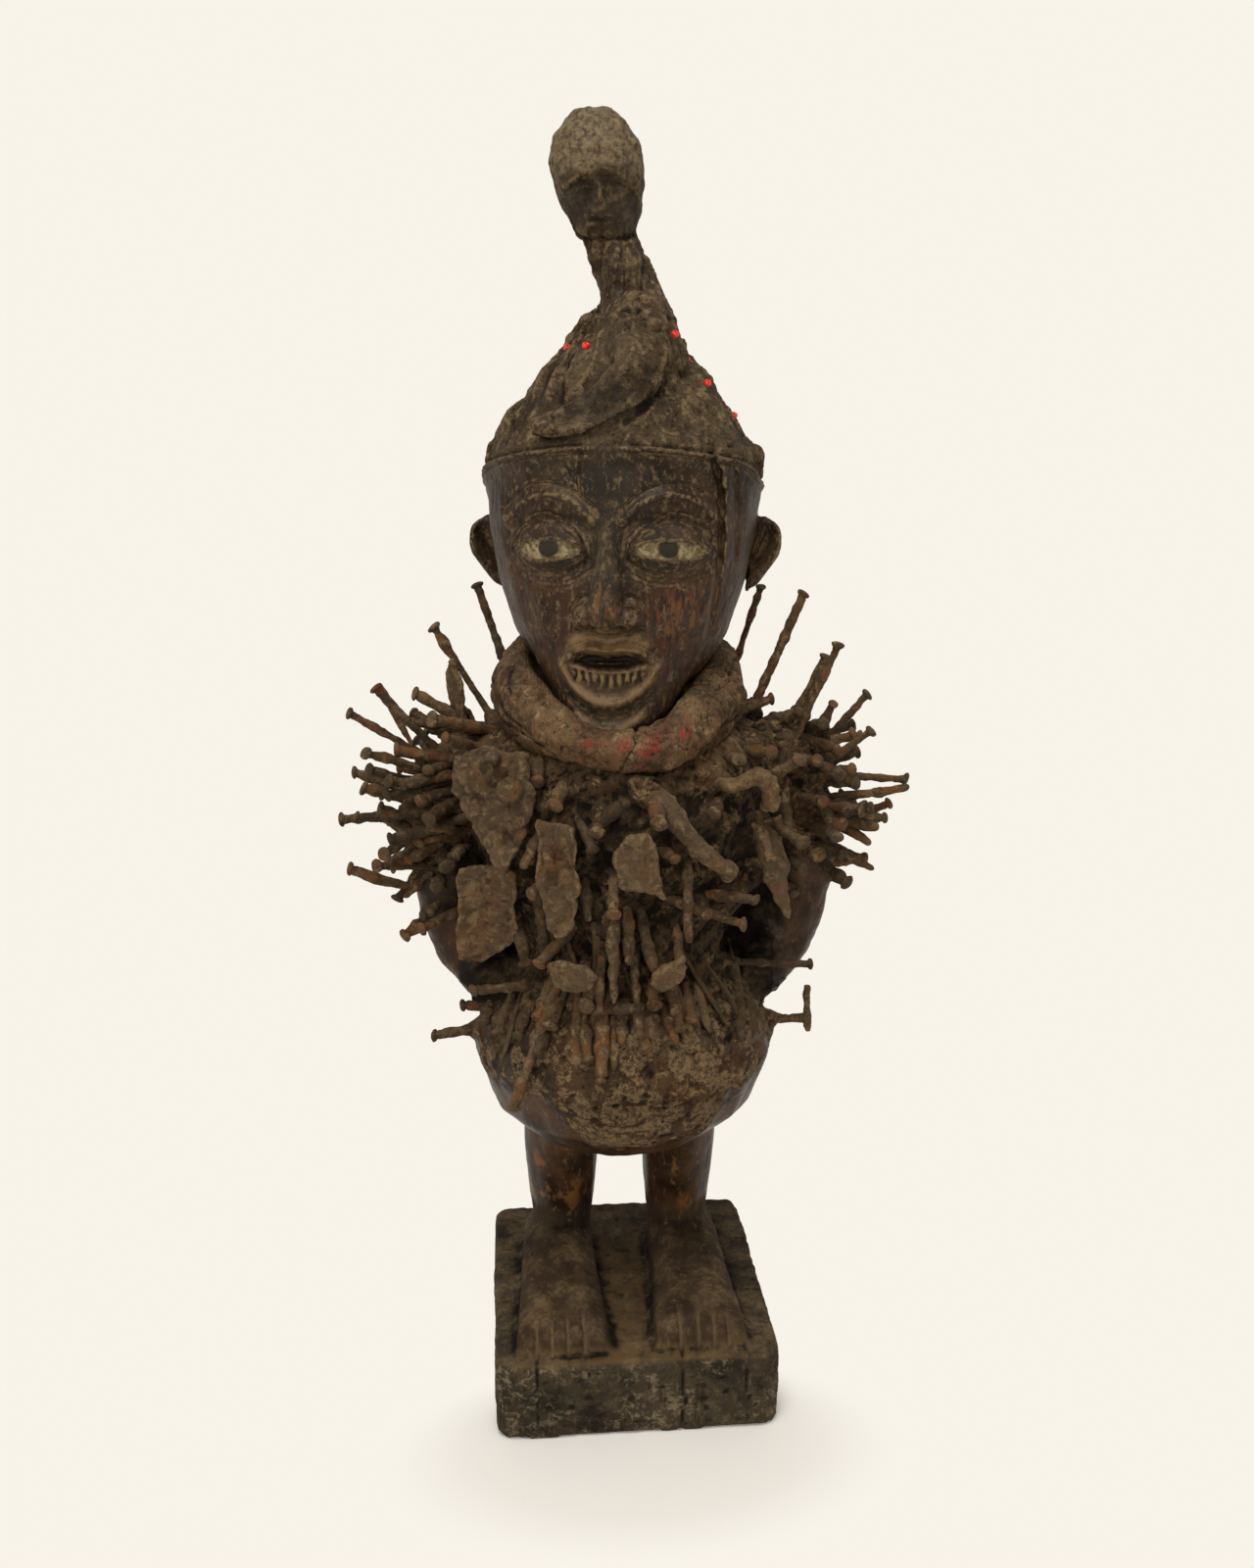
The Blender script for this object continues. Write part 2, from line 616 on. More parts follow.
def carveEyes(made, u, z, front, ahead):  # each socket is cut back, and the eye swells inside it
    values = headValues
    for turn in (-1, 1):
        out = (u - turn * values["eyeOut"]) * turn
        tilt = z - values["eyeHeight"] + out * 0.06
        socket = hill(out, 21, 4) * hill(tilt - 3, 14, 4)
        made.push(socket * -values["socketDepth"] * front, ahead)
        inside = 1 - (out / values["eyeWide"]) ** 2 - np.abs(tilt / values["lidTall"]) ** 1.5
        ball = 1 - (out / (values["eyeWide"] * 1.35)) ** 2 - ((tilt - 1) / 12.5) ** 2
        made.push(np.clip(ball, 0, 1) ** 0.6 * values["eyeSwell"] * front, ahead)
        eye = ramp(-0.05, 0.1, inside)
        made.push(eye * -values["eyeDepth"] * front, ahead)
        made.push(hill(inside + 0.2, 0.17) * 0.75 * front * ramp(22, 16, abs(out)), ahead)  # the lids' edge
        pupil = ramp(values["pupil"] + 0.5, values["pupil"] - 0.4, np.hypot(out + 0.5, tilt - 0.9))
        pupil *= ramp(0, 0.1, inside)
        made.push(pupil * 0.35 * front, ahead)
        made.mark("white", eye * front)
        made.mark("pupil", pupil * front)


def carveNose(made, u, z, front, ahead):
    nose = headValues["nose"]
    for turn in (-1, 1):
        wing = hill(u - turn * nose["wingOut"], 5.2) * hill(z - nose["wingHeight"], 5.2)
        made.push(wing * nose["wingRise"] * front, ahead)
        hole = hill(u - turn * nose["holeOut"], 2.4) * hill(z - nose["holeHeight"], 1.5)
        made.push(hole * -2.2 * front, ahead)


def carveMouth(made, spots, front, ahead):  # two lens-shaped gaps over a row of filed teeth
    values = headValues
    u, z = spots.T
    sag = (u / 19) ** 2
    arch = 382.6 + 3.0 * hill(np.abs(u) - 8.5, 5.5) - sag
    gap = ramp(-0.4, 0.5, arch - z) * ramp(-0.4, 0.5, z - 380.2 - sag * 1.6) * ramp(19.5, 16, abs(u))
    made.push(gap * -values["mouthDepth"] * front, ahead)
    lipShelf = hill(z - 378.4 - sag * 2.4, 1.0) * ramp(20, 17, abs(u))
    made.push(lipShelf * values["lipRise"] * front, ahead)
    droop = (u / 16) ** 2 * 2.6
    row = ramp(15.8, 14.8, abs(u)) * hill(z - 374.2 - droop, 2.9, 4)
    between = np.abs(((u + 0.5) / values["toothGap"]) % 1 - 0.5) * 2
    tooth = ramp(0.78, 0.5, between) * ramp(370.6, 373.4, z - droop + 1.2 * np.sin(u * 1.3))
    made.push(row * (tooth - 1) * values["toothDepth"] * front, ahead)
    lips = drawn(spots, [(-22, 380), (-16, 371), (0, 366), (16, 371), (22, 380)], 2.1)
    chin = drawn(spots, [(-15, 361), (0, 354.6), (15, 361)], 1.5) * 0.7
    under = ramp(1.15, 0.75, np.hypot(u / 19, (z - 391) / 6.0))
    below = drawn(spots, [(-21, 371), (-9, 361.4), (0, 360.2), (9, 361.4), (21, 371)], 1.9)
    lips = np.clip(lips - below, 0, 1)
    made.mark("tan", np.clip(lips * 0.9 + chin + under + lipShelf * 0.7 + row * tooth, 0, 1) * front)
    made.mark("smoke", below * front)
    made.mark("mouth", np.clip(gap + row * (1 - tooth), 0, 1) * front)


def carveHead():
    made, local, front, smooth = castHead()
    u, v, z = local.T
    spots = local[:, [0, 2]]
    ahead = np.array([math.sin(figureValues["headTurn"]), -math.cos(figureValues["headTurn"]), 0.0])

    def cutLines(lines):
        for path, width, depth in lines:
            made.push(drawn(spots, path, width) * -depth * front, ahead)

    carveEars(made, u, ahead)
    # hollow the cheeks a little, so that the jaw narrows to the chin
    jaw = ramp(16, 36, abs(u)) * ramp(402, 378, z) * ramp(345, 356, z) * ramp(0, -20, v)
    made.points[:, :2] *= 1 - headValues["jawNarrows"] * jaw[:, None]
    carveEyes(made, u, z, front, ahead)
    carveNose(made, u, z, front, ahead)
    carveMouth(made, spots, front, ahead)
    cutLines(headValues["pairs"])
    cutLines((mirrored(path), width, depth) for path, width, depth in headValues["pairs"])
    cutLines(headValues["lines"])
    carveCap(made, local)
    cutLines(headValues["splits"])
    plain = 1 - made.marks["white"]
    made.push(layeredNoise(local, np.array([2.6, 2.6, 20.0]), 91) * headValues["grain"] * plain)
    made.push(layeredNoise(local, 9, 92, 4) * 0.35 * (1 - np.clip(made.marks["white"] + smooth, 0, 1)))
    made.points = np.minimum(made.points, np.array(cadBox[1]) * 1000 - figureValues["boxGap"])
    return made


capValues = {
    "hem": 479.0, "hemDrop": 0.3,
    "hemLines": ((0, 1.0, 1.1), (2.6, 0.9, -0.9), (-2.8, 0.9, -1.0)),  # place above the hem, width and rise
    # slanting ribs: where each stands round the cap, their height, and how they turn as they rise
    "ribsAt": (-2.9, -2.45, -2.05, -1.62, -1.26, -0.94, -0.62, -0.32, 1.55, 1.9, 2.3, 2.75, 3.2),
    "ribs": 2.9, "ribTwist": 0.011, "radius": 52,
    "knobbles": 1.3, "wrinkles": 0.8, "lumps": 0.75, "crumbs": 0.6,
    "leaf": ((-35, 490), (-24, 487), (-9, 488), (7, 494), (19, 505), (24, 519), (20, 532)),  # the lobe's edge
    # folds round the lobe: path, width and rise
    "folds": (
        (((-29, 488), (-21, 486.5), (-12, 488)), 2.6, 2.2),
        (((-19, 500), (-10, 509), (-6, 526)), 1.7, 1.7),
        (((6, 540), (9, 528), (10, 518), (4, 508)), 1.6, 1.2),
    ),
    "lobeHollow": 2.2,
    "fibres": 0.9, "grooves": 1.1,
    "backRoom": 5.0,  # the cap's back is drawn in over this distance before the CAD's box
}


def capHem(v):
    return capValues["hem"] - capValues["hemDrop"] * np.clip(v + 60, 0, None)


def carveCap(made, local):
    u, v, z = local.T
    values = capValues
    hem = capHem(v)
    cap = ramp(-1, 3, z - hem) * ramp(548, 530, z)
    stalk = ramp(520, 536, z) * ramp(575, 565, z)
    knob = ramp(558, 568, z)
    angle = np.arctan2(u, -v)
    made.soften(90, 0.5 * ramp(510, 522, z) * ramp(562, 548, z))
    made.push(1.2 * ramp(526, 540, z) * ramp(566, 556, z))  # makes up for what the smoothing takes
    # a raised hem line between two thin cuts, worn away in the middle of the brow
    broken = 1 - 0.85 * ramp(10, 5, abs(u + 1)) * ramp(0, -20, v)
    for above, width, rise in values["hemLines"]:
        made.push(hill(z - hem - above, width) * rise * broken)
    # the ribs stop short of the lobe
    spots = local[:, [0, 2]]
    behind = ramp(-14, 2, v)
    leaf = np.array(values["leaf"], float)
    clear = ramp(6, 13, nearPath(spots, leaf)) + behind
    clear = np.minimum(clear * ramp(2, 6, np.hypot((u - 4) / 4.6, (z - 506) / 4.6) + behind * 9), 1)
    twist = angle + (z - 476) * values["ribTwist"] + softNoise(local, 26, 101) * 0.14
    worn = 0.45 + 0.55 * ramp(-0.3, 0.2, softNoise(local, 24, 108))
    for place in values["ribsAt"]:
        away = (twist - place) * values["radius"]
        rib = (hill(away, 2.6) - 0.9 * hill(away - 5.2, 2.2)) * worn
        made.push(rib * values["ribs"] * cap * clear * ramp(3, 10, z - hem))
    # old crust in knobbles on the figure's left flank
    left = ramp(4, 26, u) * ramp(0, 8, z - hem) * cap
    cells = cellNoise(local + softNoise(local, 6, 102)[:, None] * 3, 8.0, 103)[0]
    made.push((0.5 - cells) * values["knobbles"] * left)
    folded = 1 - np.abs(softNoise(np.stack([angle * 40, twist * 12, z * 0.45], 1), 9, 109)) * 3
    made.push(np.clip(folded, -0.4, 1) * values["wrinkles"] * left)
    lumps = layeredNoise(local, 11, 104, 4) * values["lumps"]
    lumps += layeredNoise(local, 4.2, 111, 2) * values["crumbs"]
    made.push(lumps * cap * (0.4 + 0.6 * np.maximum(left, ramp(-10, 4, v))))
    # the lobe that the stalk grows from: a raised lip round a dark hollow
    ahead = ramp(2, -14, v) * cap
    made.push((drawn(spots, leaf, 1.9) * 2.4 - drawn(spots, leaf + [1, -4.5], 1.8) * 1.6) * ahead)
    along, over = (u + 5) * 0.87 + (z - 500) * 0.5, (z - 500) * 0.87 - (u + 5) * 0.5
    lobe = hill(along, 17) * hill(over, 7)
    made.push(-lobe * values["lobeHollow"] * ahead)
    for path, width, rise in values["folds"]:
        made.push(drawn(spots, path, width) * rise * ahead)
    # fibres of the stalk
    made.push(layeredNoise(local, np.array([3.2, 3.2, 30]), 105) * values["fibres"] * stalk)
    grooves = (1 - np.abs(softNoise(local, np.array([9.0, 9.0, 60.0]), 110)) * 6).clip(0, 1)
    made.push(-grooves * values["grooves"] * ramp(526, 536, z) * ramp(575, 565, z))
    made.mark("cap", np.clip(cap + stalk + 0.5 * knob, 0, 1))
    made.mark("knob", knob * ramp(589, 596, z + softNoise(local, 9, 107) * 5))
    made.mark("lobe", lobe * ahead)
    carveSmallHead(made, local, knob)
    # its back stays inside the CAD's box
    room = values["backRoom"]
    past = np.clip(made.points[:, 1] - cadBox[1][1] * 1000 + room + 0.5, 0, None)
    made.points[:, 1] -= past - room * np.tanh(past / room)


def carveSmallHead(made, local, knob):  # the knob at the top has its own brow, eyes, nose, mouth and jaw
    z = local[:, 2]
    middle = made.points[z > 580].mean(axis=0)
    across, back = (made.points - middle)[:, 0], (made.points - middle)[:, 1]
    fore = ramp(2, -7, back) * knob
    under = ramp(594.5, 591.5, z + 0.03 * across ** 2)
    parts = [-2.8 * under * ramp(20, 15, abs(across)) * ramp(566, 572, z)]
    for turn in (-1, 1):
        out = across - turn * 7
        parts.append(-2.6 * hill(out, 3.8) * hill(z - 588, 2.8))
        parts.append(1.7 * hill(out, 2.4) * hill(z - 587.6, 1.2))
    parts.append(3.2 * hill(across, 2.7) * hill(z - 584, 5.5))
    parts.append(2.4 * hill(across, 6.5, 4) * hill(z - 574.6, 3.2))
    parts.append(-2.8 * hill(across, 5.4, 4) * hill(z - 574.6, 1.0))
    made.push(sum(parts) * fore, np.array([0.0, -1.0, 0.0]))
    made.push(-hill(z - 566.5 - 0.012 * across ** 2, 1.3) * 2.2 * fore)
    made.push((layeredNoise(local, 8, 106, 4) * 0.7 + layeredNoise(local, 3.5, 112, 2) * 0.2) * knob)
    made.mark("lobe", fore * under * ramp(568, 576, z) * 0.6)


# Driven nails

nailValues = {
    "sides": 14,
    "step": 1.5,  # between the rings of a shank
    "shank": 2.1,
    "head": 3.9,
    "crust": 0.55,
    "foot": 4.0,  # how deep the small ones are sunk
    "tipGap": 0.9,  # the large ones stop this far below the CAD's tip
    # a head's and a blunt end's rings: how far below the tip, and how wide, in heads or in shanks
    "headRings": ((2.9, 0.62), (2.2, 0.92), (1.5, 1.0), (0.8, 0.93), (0.25, 0.66), (0.0, 0.3)),
    "endRings": ((3.0, 0.95), (1.4, 0.85), (0.4, 0.6), (0.0, 0.3)),
}


def sideWays(axis):  # two directions square to an axis
    across = np.cross(axis, [0, 0, 1.0] if abs(axis[2]) < 0.9 else [1.0, 0, 0])
    across /= np.linalg.norm(across)
    return across, np.cross(axis, across)


def tubeForm(path, wide, sides, squash=1.0, turn=0.0):  # rings along a path, closed at both ends
    path = np.array(path, float)
    runs = np.gradient(path, axis=0)
    runs /= np.linalg.norm(runs, axis=1)[:, None]
    across = sideWays(runs[0])[0]
    angles = np.linspace(0, 2 * math.pi, sides, endpoint=False) + turn
    rings = []
    for place, run, reach in zip(path, runs, wide):
        across = across - run * (across @ run)
        across /= np.linalg.norm(across)
        lift = np.cross(run, across)
        ring = np.cos(angles)[:, None] * across + squash * np.sin(angles)[:, None] * lift
        rings.append(place + reach * ring)
    places = np.concatenate([path[:1]] + rings + [path[-1:]])
    faces = []
    for here in range(sides):
        there = (here + 1) % sides
        faces.append((0, 1 + there, 1 + here))
        for ring in range(1, 1 + (len(path) - 1) * sides, sides):
            faces.append((ring + here, ring + there, ring + sides + there, ring + sides + here))
        ring = 1 + (len(path) - 1) * sides
        faces.append((ring + here, ring + there, len(places) - 1))
    return places, faces


def nailForm(foot, top, seed, shank=None, head=None, bend=0.0):
    # a hand-made nail: crusted shank, neck, and a beaten head that isn't quite round
    v = nailValues
    dice = np.random.RandomState(seed)
    shank = v["shank"] * dice.uniform(0.85, 1.15) if shank is None else shank
    head = v["head"] * dice.uniform(0.82, 1.05) if head is None else head
    foot, top = np.array(foot, float), np.array(top, float)
    long = np.linalg.norm(top - foot)
    axis = (top - foot) / long
    across, lift = sideWays(axis)
    sag = (across * math.cos(seed) + lift * math.sin(seed)) * bend
    steps = np.arange(0, long - 4.5, v["step"])
    shankWide = shank * (0.8 + 0.2 * np.minimum(steps / 8, 1))
    for _ in range(int(2 + long / 14)):
        clump = dice.uniform(0.2, 0.75)
        away = steps - dice.uniform(8, max(long - 6, 9))
        shankWide = shankWide + clump * hill(away, dice.uniform(1.5, 4))
    if head > 0:
        rings = np.array(((4.0, shank * 1.1 / head),) + v["headRings"]) * (1, head)
    else:
        rings = np.array(v["endRings"]) * (1, shank)
    along = np.concatenate([steps, long - rings[:, 0]])
    wide = np.concatenate([shankWide, rings[:, 1]])
    path = foot + along[:, None] * axis + np.sin(along / long * math.pi)[:, None] * sag
    squash, turn = dice.uniform(0.82, 1.0), dice.uniform(0, 3)
    places, faces = tubeForm(path, wide, v["sides"], squash, turn)
    out = places[1:-1] - np.repeat(path, v["sides"], axis=0)
    reach = np.maximum(np.linalg.norm(out, axis=1), 1e-6)[:, None]
    rough = softNoise(places[1:-1], 4.0, seed) * 0.7 + softNoise(places[1:-1], 1.9, seed + 1) * 0.55
    places[1:-1] += out / reach * (rough * v["crust"] * np.minimum(1, reach[:, 0]))[:, None]
    # the head was struck askew
    lean = (across * dice.uniform(-1, 1) + lift * dice.uniform(-1, 1)) * 0.25
    atHead = ramp(long - 4.2, long - 1.5, (places - foot) @ axis)
    places += ((places - top) @ lean * atHead)[:, None] * axis
    return places, faces, dice.uniform(0, 1)


def joinForms(name, forms, material, standsFor=()):  # each form brings its places, faces and tint
    places, faces, tints = [], [], []
    for ownPlaces, ownFaces, tint in forms:
        faces += [tuple(corner + len(places) for corner in face) for face in ownFaces]
        places += (ownPlaces * 0.001).tolist()
        tints += [tint] * len(ownPlaces)
    mesh = bpy.data.meshes.new(name)
    mesh.from_pydata(places, [], faces)
    mesh.polygons.foreach_set("use_smooth", np.ones(len(faces), bool))
    finishPiece(name, mesh, {"tint": np.array(tints)}, material, standsFor)


def camelName(name):
    first, *rest = name.split("_")
    return first + "".join(part.capitalize() for part in rest)


# Small irons seen between the large ones: where each leaves the crust and where it ends in the photo,
# how far its end stands out towards the camera in mm, its shank, and its head (0 has none)
smallIrons = {
    "rightArm": [
        (502, 745, 438, 733, 20, 2.6, 4.2), (392, 737, 387, 697, 2, 1.5, 0),
        (470, 775, 402, 766, 6, 2.6, 4.6), (462, 795, 392, 812, 10, 2.2, 3.6),
        (474, 788, 408, 801, 14, 2.5, 3.4), (462, 828, 361, 834, 4, 2.0, 3.2),
        (480, 832, 396, 858, 20, 3.0, 4.3), (446, 862, 398, 884, 8, 2.2, 4.0),
        (434, 896, 413, 916, 2, 1.8, 0), (474, 924, 428, 949, 16, 2.3, 4.0),
        (444, 922, 429, 936, 3, 2.2, 3.0), (452, 868, 457, 886, 16, 3.2, 4.6),
        (430, 862, 414, 874, 6, 2.6, 3.6), (448, 892, 446, 906, 12, 2.4, 3.6),
        (468, 806, 428, 818, 18, 2.2, 3.6), (470, 846, 440, 842, 22, 2.4, 3.8),
        (486, 760, 452, 752, 18, 2.2, 3.4), (466, 815, 436, 836, 24, 2.2, 3.8),
        (458, 850, 424, 860, 12, 2.2, 3.6), (476, 866, 462, 876, 14, 2.2, 3.4),
        (460, 782, 436, 786, 16, 2.0, 3.2), (500, 742, 470, 742, 16, 2.8, 3.6),
        (452, 905, 436, 890, 10, 1.9, 3.0),
    ],
    "leftArm": [
        (838, 757, 880, 751, 6, 2.2, 3.4), (820, 745, 841, 738, 26, 2.4, 3.6),
        (828, 755, 857, 766, 8, 2.3, 3.2), (848, 812, 928, 803, 4, 2.0, 0),
        (820, 732, 845, 668, 4, 1.5, 0), (846, 822, 884, 826, 6, 2.2, 5.0),
        (852, 834, 897, 845, 6, 3.0, 0), (852, 840, 889, 861, 8, 2.4, 0), (846, 866, 892, 887, 6, 2.0, 0),
        (843, 880, 867, 902, 10, 2.4, 4.0), (828, 862, 835, 873, 16, 2.6, 4.4),
        (786, 838, 822, 861, 16, 2.2, 4.0), (803, 802, 806, 853, 12, 2.2, 3.8),
        (836, 815, 855, 857, 14, 2.7, 3.8), (790, 868, 795, 887, 14, 2.6, 4.4),
        (776, 836, 789, 880, 10, 2.0, 3.2), (848, 790, 872, 784, 8, 2.6, 3.4),
        (838, 795, 876, 800, 14, 2.6, 3.2), (826, 776, 858, 790, 20, 2.4, 3.8),
        (812, 770, 836, 776, 20, 2.2, 3.6), (816, 812, 842, 818, 20, 2.4, 3.8),
        (822, 842, 850, 848, 18, 2.2, 3.6), (810, 876, 822, 888, 14, 2.2, 3.6),
        (834, 860, 862, 872, 12, 2.4, 3.4), (800, 735, 818, 726, 14, 2.0, 3.2),
        (846, 742, 852, 716, 6, 2.2, 3.0), (800, 905, 812, 914, 8, 2.0, 3.0),
    ],
    "chest": [
        (543, 820, 528, 862, 12, 2.3, 0), (552, 850, 533, 886, 12, 2.4, 0),
        (556, 846, 562, 888, 14, 2.2, 3.2), (612, 840, 640, 816, 6, 3.0, 3.6),
        (672, 812, 673, 843, 13, 3.2, 4.2), (702, 884, 703, 962, 10, 2.2, 0),
        (682, 916, 724, 934, 13, 2.5, 3.4), (722, 912, 774, 919, 9, 2.4, 3.0),
        (519, 800, 520, 806, 27, 4.2, 6.0), (563, 893, 540, 914, 14, 2.3, 3.2),
        (528, 918, 538, 986, 14, 2.3, 4.0), (548, 912, 556, 976, 7, 2.4, 0),
        (586, 948, 548, 986, 16, 2.3, 3.2), (655, 928, 669, 992, 13, 2.5, 0),
        (575, 800, 566, 824, 12, 2.5, 3.8), (598, 900, 600, 940, 9, 2.0, 0),
        (590, 838, 606, 870, 8, 2.2, 3.6), (640, 930, 642, 985, 9, 2.4, 0),
        (690, 945, 694, 990, 10, 2.0, 3.4), (735, 815, 728, 832, 14, 2.6, 3.8),
        (505, 770, 496, 786, 16, 2.5, 3.6), (552, 775, 548, 800, 12, 2.3, 3.6),
        (735, 880, 748, 893, 10, 2.2, 3.2), (672, 868, 690, 878, 13, 2.0, 3.0),
        (765, 765, 790, 768, 14, 2.4, 3.6), (742, 772, 756, 776, 12, 2.2, 3.4),
    ],
    "belly": [
        (546, 1003, 480, 1011, 14, 2.4, 3.6), (566, 998, 548, 1040, 13, 2.6, 3.4),
        (577, 1004, 560, 1050, 15, 2.4, 4.2), (590, 1020, 590, 1094, 8, 2.4, 0),
        (603, 998, 597, 1028, 17, 2.4, 4.2), (614, 1030, 613, 1106, 8, 3.0, 3.0),
        (620, 1032, 656, 1030, 8, 2.6, 3.6), (668, 1002, 669, 1028, 14, 2.4, 3.8),
        (640, 1026, 634, 1066, 8, 2.2, 0), (598, 1042, 600, 1084, 9, 1.9, 3.2),
        (655, 1035, 660, 1074, 9, 2.2, 3.4), (676, 1030, 690, 1066, 8, 2.1, 0),
        (560, 1052, 548, 1078, 9, 2.0, 3.2), (500, 1024, 492, 1046, 9, 2.6, 3.8),
        (520, 1020, 508, 1056, 7, 2.2, 3.4), (626, 1045, 627, 1092, 6, 1.8, 0),
        (540, 1030, 528, 1060, 8, 2.2, 3.2), (700, 1010, 705, 1044, 9, 2.2, 3.4),
    ],
}

splintValues = {
    "steps": 12, "sides": 12, "squash": 0.42, "broad": 0.62, "sway": 1.5, "rough": 0.7,
    # flat tongues of wood and iron that hang over the waist, placed like the small irons, with their width
    "entries": [
        (698, 972, 737, 1040, 9, 4.6), (722, 984, 752, 1034, 8, 3.6), (744, 958, 758, 1062, 5, 4.2),
        (708, 1000, 726, 1052, 8, 3.4), (686, 1000, 706, 1052, 8, 3.2), (575, 940, 590, 990, 9, 3.4),
        (538, 1000, 512, 1078, 6, 3.6), (640, 990, 652, 1040, 10, 3.8), (760, 1000, 770, 1058, 3, 3.2),
        (606, 940, 612, 1010, 9, 3.2), (560, 900, 566, 960, 10, 3.4),
    ],
}


def seatedAt(wood, across, down):  # where the sight line meets the wood, or the wood nearest to it
    eye, line = photoRay(across, down)
    place = wood.ray_cast(Vector(eye), Vector(line))[0]
    if place is None:
        tries = [wood.find_nearest(Vector(eye + line * far)) for far in range(560, 860, 8)]
        place = min(tries, key=lambda found: found[3])[0]
    return np.array(place), eye


def smallIron(wood, entry, seed):
    startAcross, startDown, endAcross, endDown, lift, shank, head = entry
    root, eye = seatedAt(wood, startAcross, startDown)
    ahead, line = viewAxis(), photoRay(endAcross, endDown)[1]
    top = eye + line * (((root - eye) @ ahead - lift) / (line @ ahead))
    run = (top - root) / np.linalg.norm(top - root)
    bend = np.random.RandomState(seed).uniform(-1.6, 1.6)
    return nailForm(root - run * nailValues["foot"], top, seed, shank, head, bend)


def splintForm(wood, entry, seed):
    v = splintValues
    startAcross, startDown, endAcross, endDown, lift, wide = entry
    ahead = viewAxis()
    path = []
    for part in np.linspace(0, 1, v["steps"]):
        across = startAcross + (endAcross - startAcross) * part + math.sin(part * 5 + seed) * v["sway"]
        down = startDown + (endDown - startDown) * part
        place = seatedAt(wood, across, down)[0]
        path.append(place - ahead * (lift * part ** 1.3 * 0.6 - 1.0))
    path = rounded(path, 1)
    reach = np.linspace(0, 1, len(path))
    spread = wide * v["broad"] * (0.75 + 0.45 * np.sin(reach * 2.6)) * ramp(1.12, 0.8, reach)
    places, faces = tubeForm(path, spread, v["sides"], squash=v["squash"])
    places += (softNoise(places, 5, seed) * v["rough"])[:, None] * ahead
    return places, faces, 0.3 + 0.4 * math.sin(seed)


rearValues = {
    "each": 17,  # on each arm
    "seed": 901, "heights": (264, 352), "long": (15, 31),
    "around": (62, 152),  # degrees from the front towards the back
    "armOut": 72, "armBack": 6.0, "onArm": 55,
}


def rearNails(wood):  # nails on the outer and rear sides of the arms, which the photo doesn't show
    v = rearValues
    dice = np.random.RandomState(v["seed"])
    low, high = v["heights"]
    forms = []
    for side in (-1, 1):
        for k in range(v["each"]):
            height = low + (high - low) * (k + dice.uniform(0.1, 0.9)) / v["each"]
            turn = math.radians(dice.uniform(*v["around"]))
            out = np.array([side * math.sin(turn), -math.cos(turn), dice.uniform(0.0, 0.35)])
            middle = np.array([figureValues["middle"] + side * v["armOut"], v["armBack"], height])
            place = wood.ray_cast(Vector(middle + out * 120), Vector(-out))[0]
            if place is None or abs(place[0]) < v["onArm"]:
                continue
            long = dice.uniform(*v["long"])
            lean = out / np.linalg.norm(out) + [0, dice.uniform(-0.25, 0.1), dice.uniform(-0.15, 0.4)]
            root = np.array(place) - lean * nailValues["foot"]
            top = root + lean * (long + nailValues["foot"])
            shank, head, bend = dice.uniform(1.9, 2.5), dice.uniform(3.2, 4.2), dice.uniform(-1.5, 1.5)
            forms.append(nailForm(root, top, 950 + k + 40 * side, shank, head, bend))
    return forms


flatValues = {
    # name: grid, rounds of softening, swelling, warp of the outline, height of the crust's lumps, curl
    "plate_right_breast": (1.0, 1, 0.3, 2.6, 1.0, -7.5),
    "plate_right_waist": (1.0, 1, 0.1, 2.2, 0.6, 9.0),
    "plate_centre": (0.9, 1, 0.1, 2.0, 0.6, 7.5),
    "plate_left_breast": (0.9, 1, 0.1, 1.8, 0.5, -7.5),
    "disc_belly": (0.8, 3, 0.7, 1.2, 0.6, 2.5),
    "shell_chest": (0.9, 4, 0.8, 1.2, 0.7, -4.0),
    "leaf_belly": (0.8, 3, 0.6, 1.3, 0.5, 3.0),
    "knife_right_shoulder": (0.9, 3, 0.35, 1.2, 0.6, 1.0),
    "hinge_left_hip": (0.8, 3, 0.35, 0.6, 0.4, 0.0),
    "hook_left_breast": (0.8, 4, 0.8, 1.2, 0.8, 0.0),
    "horn_chest": (0.8, 4, 0.6, 1.3, 0.7, 0.0),
    "spike_belly": (0.8, 3, 0.6, 1.0, 0.7, 0.0),
}


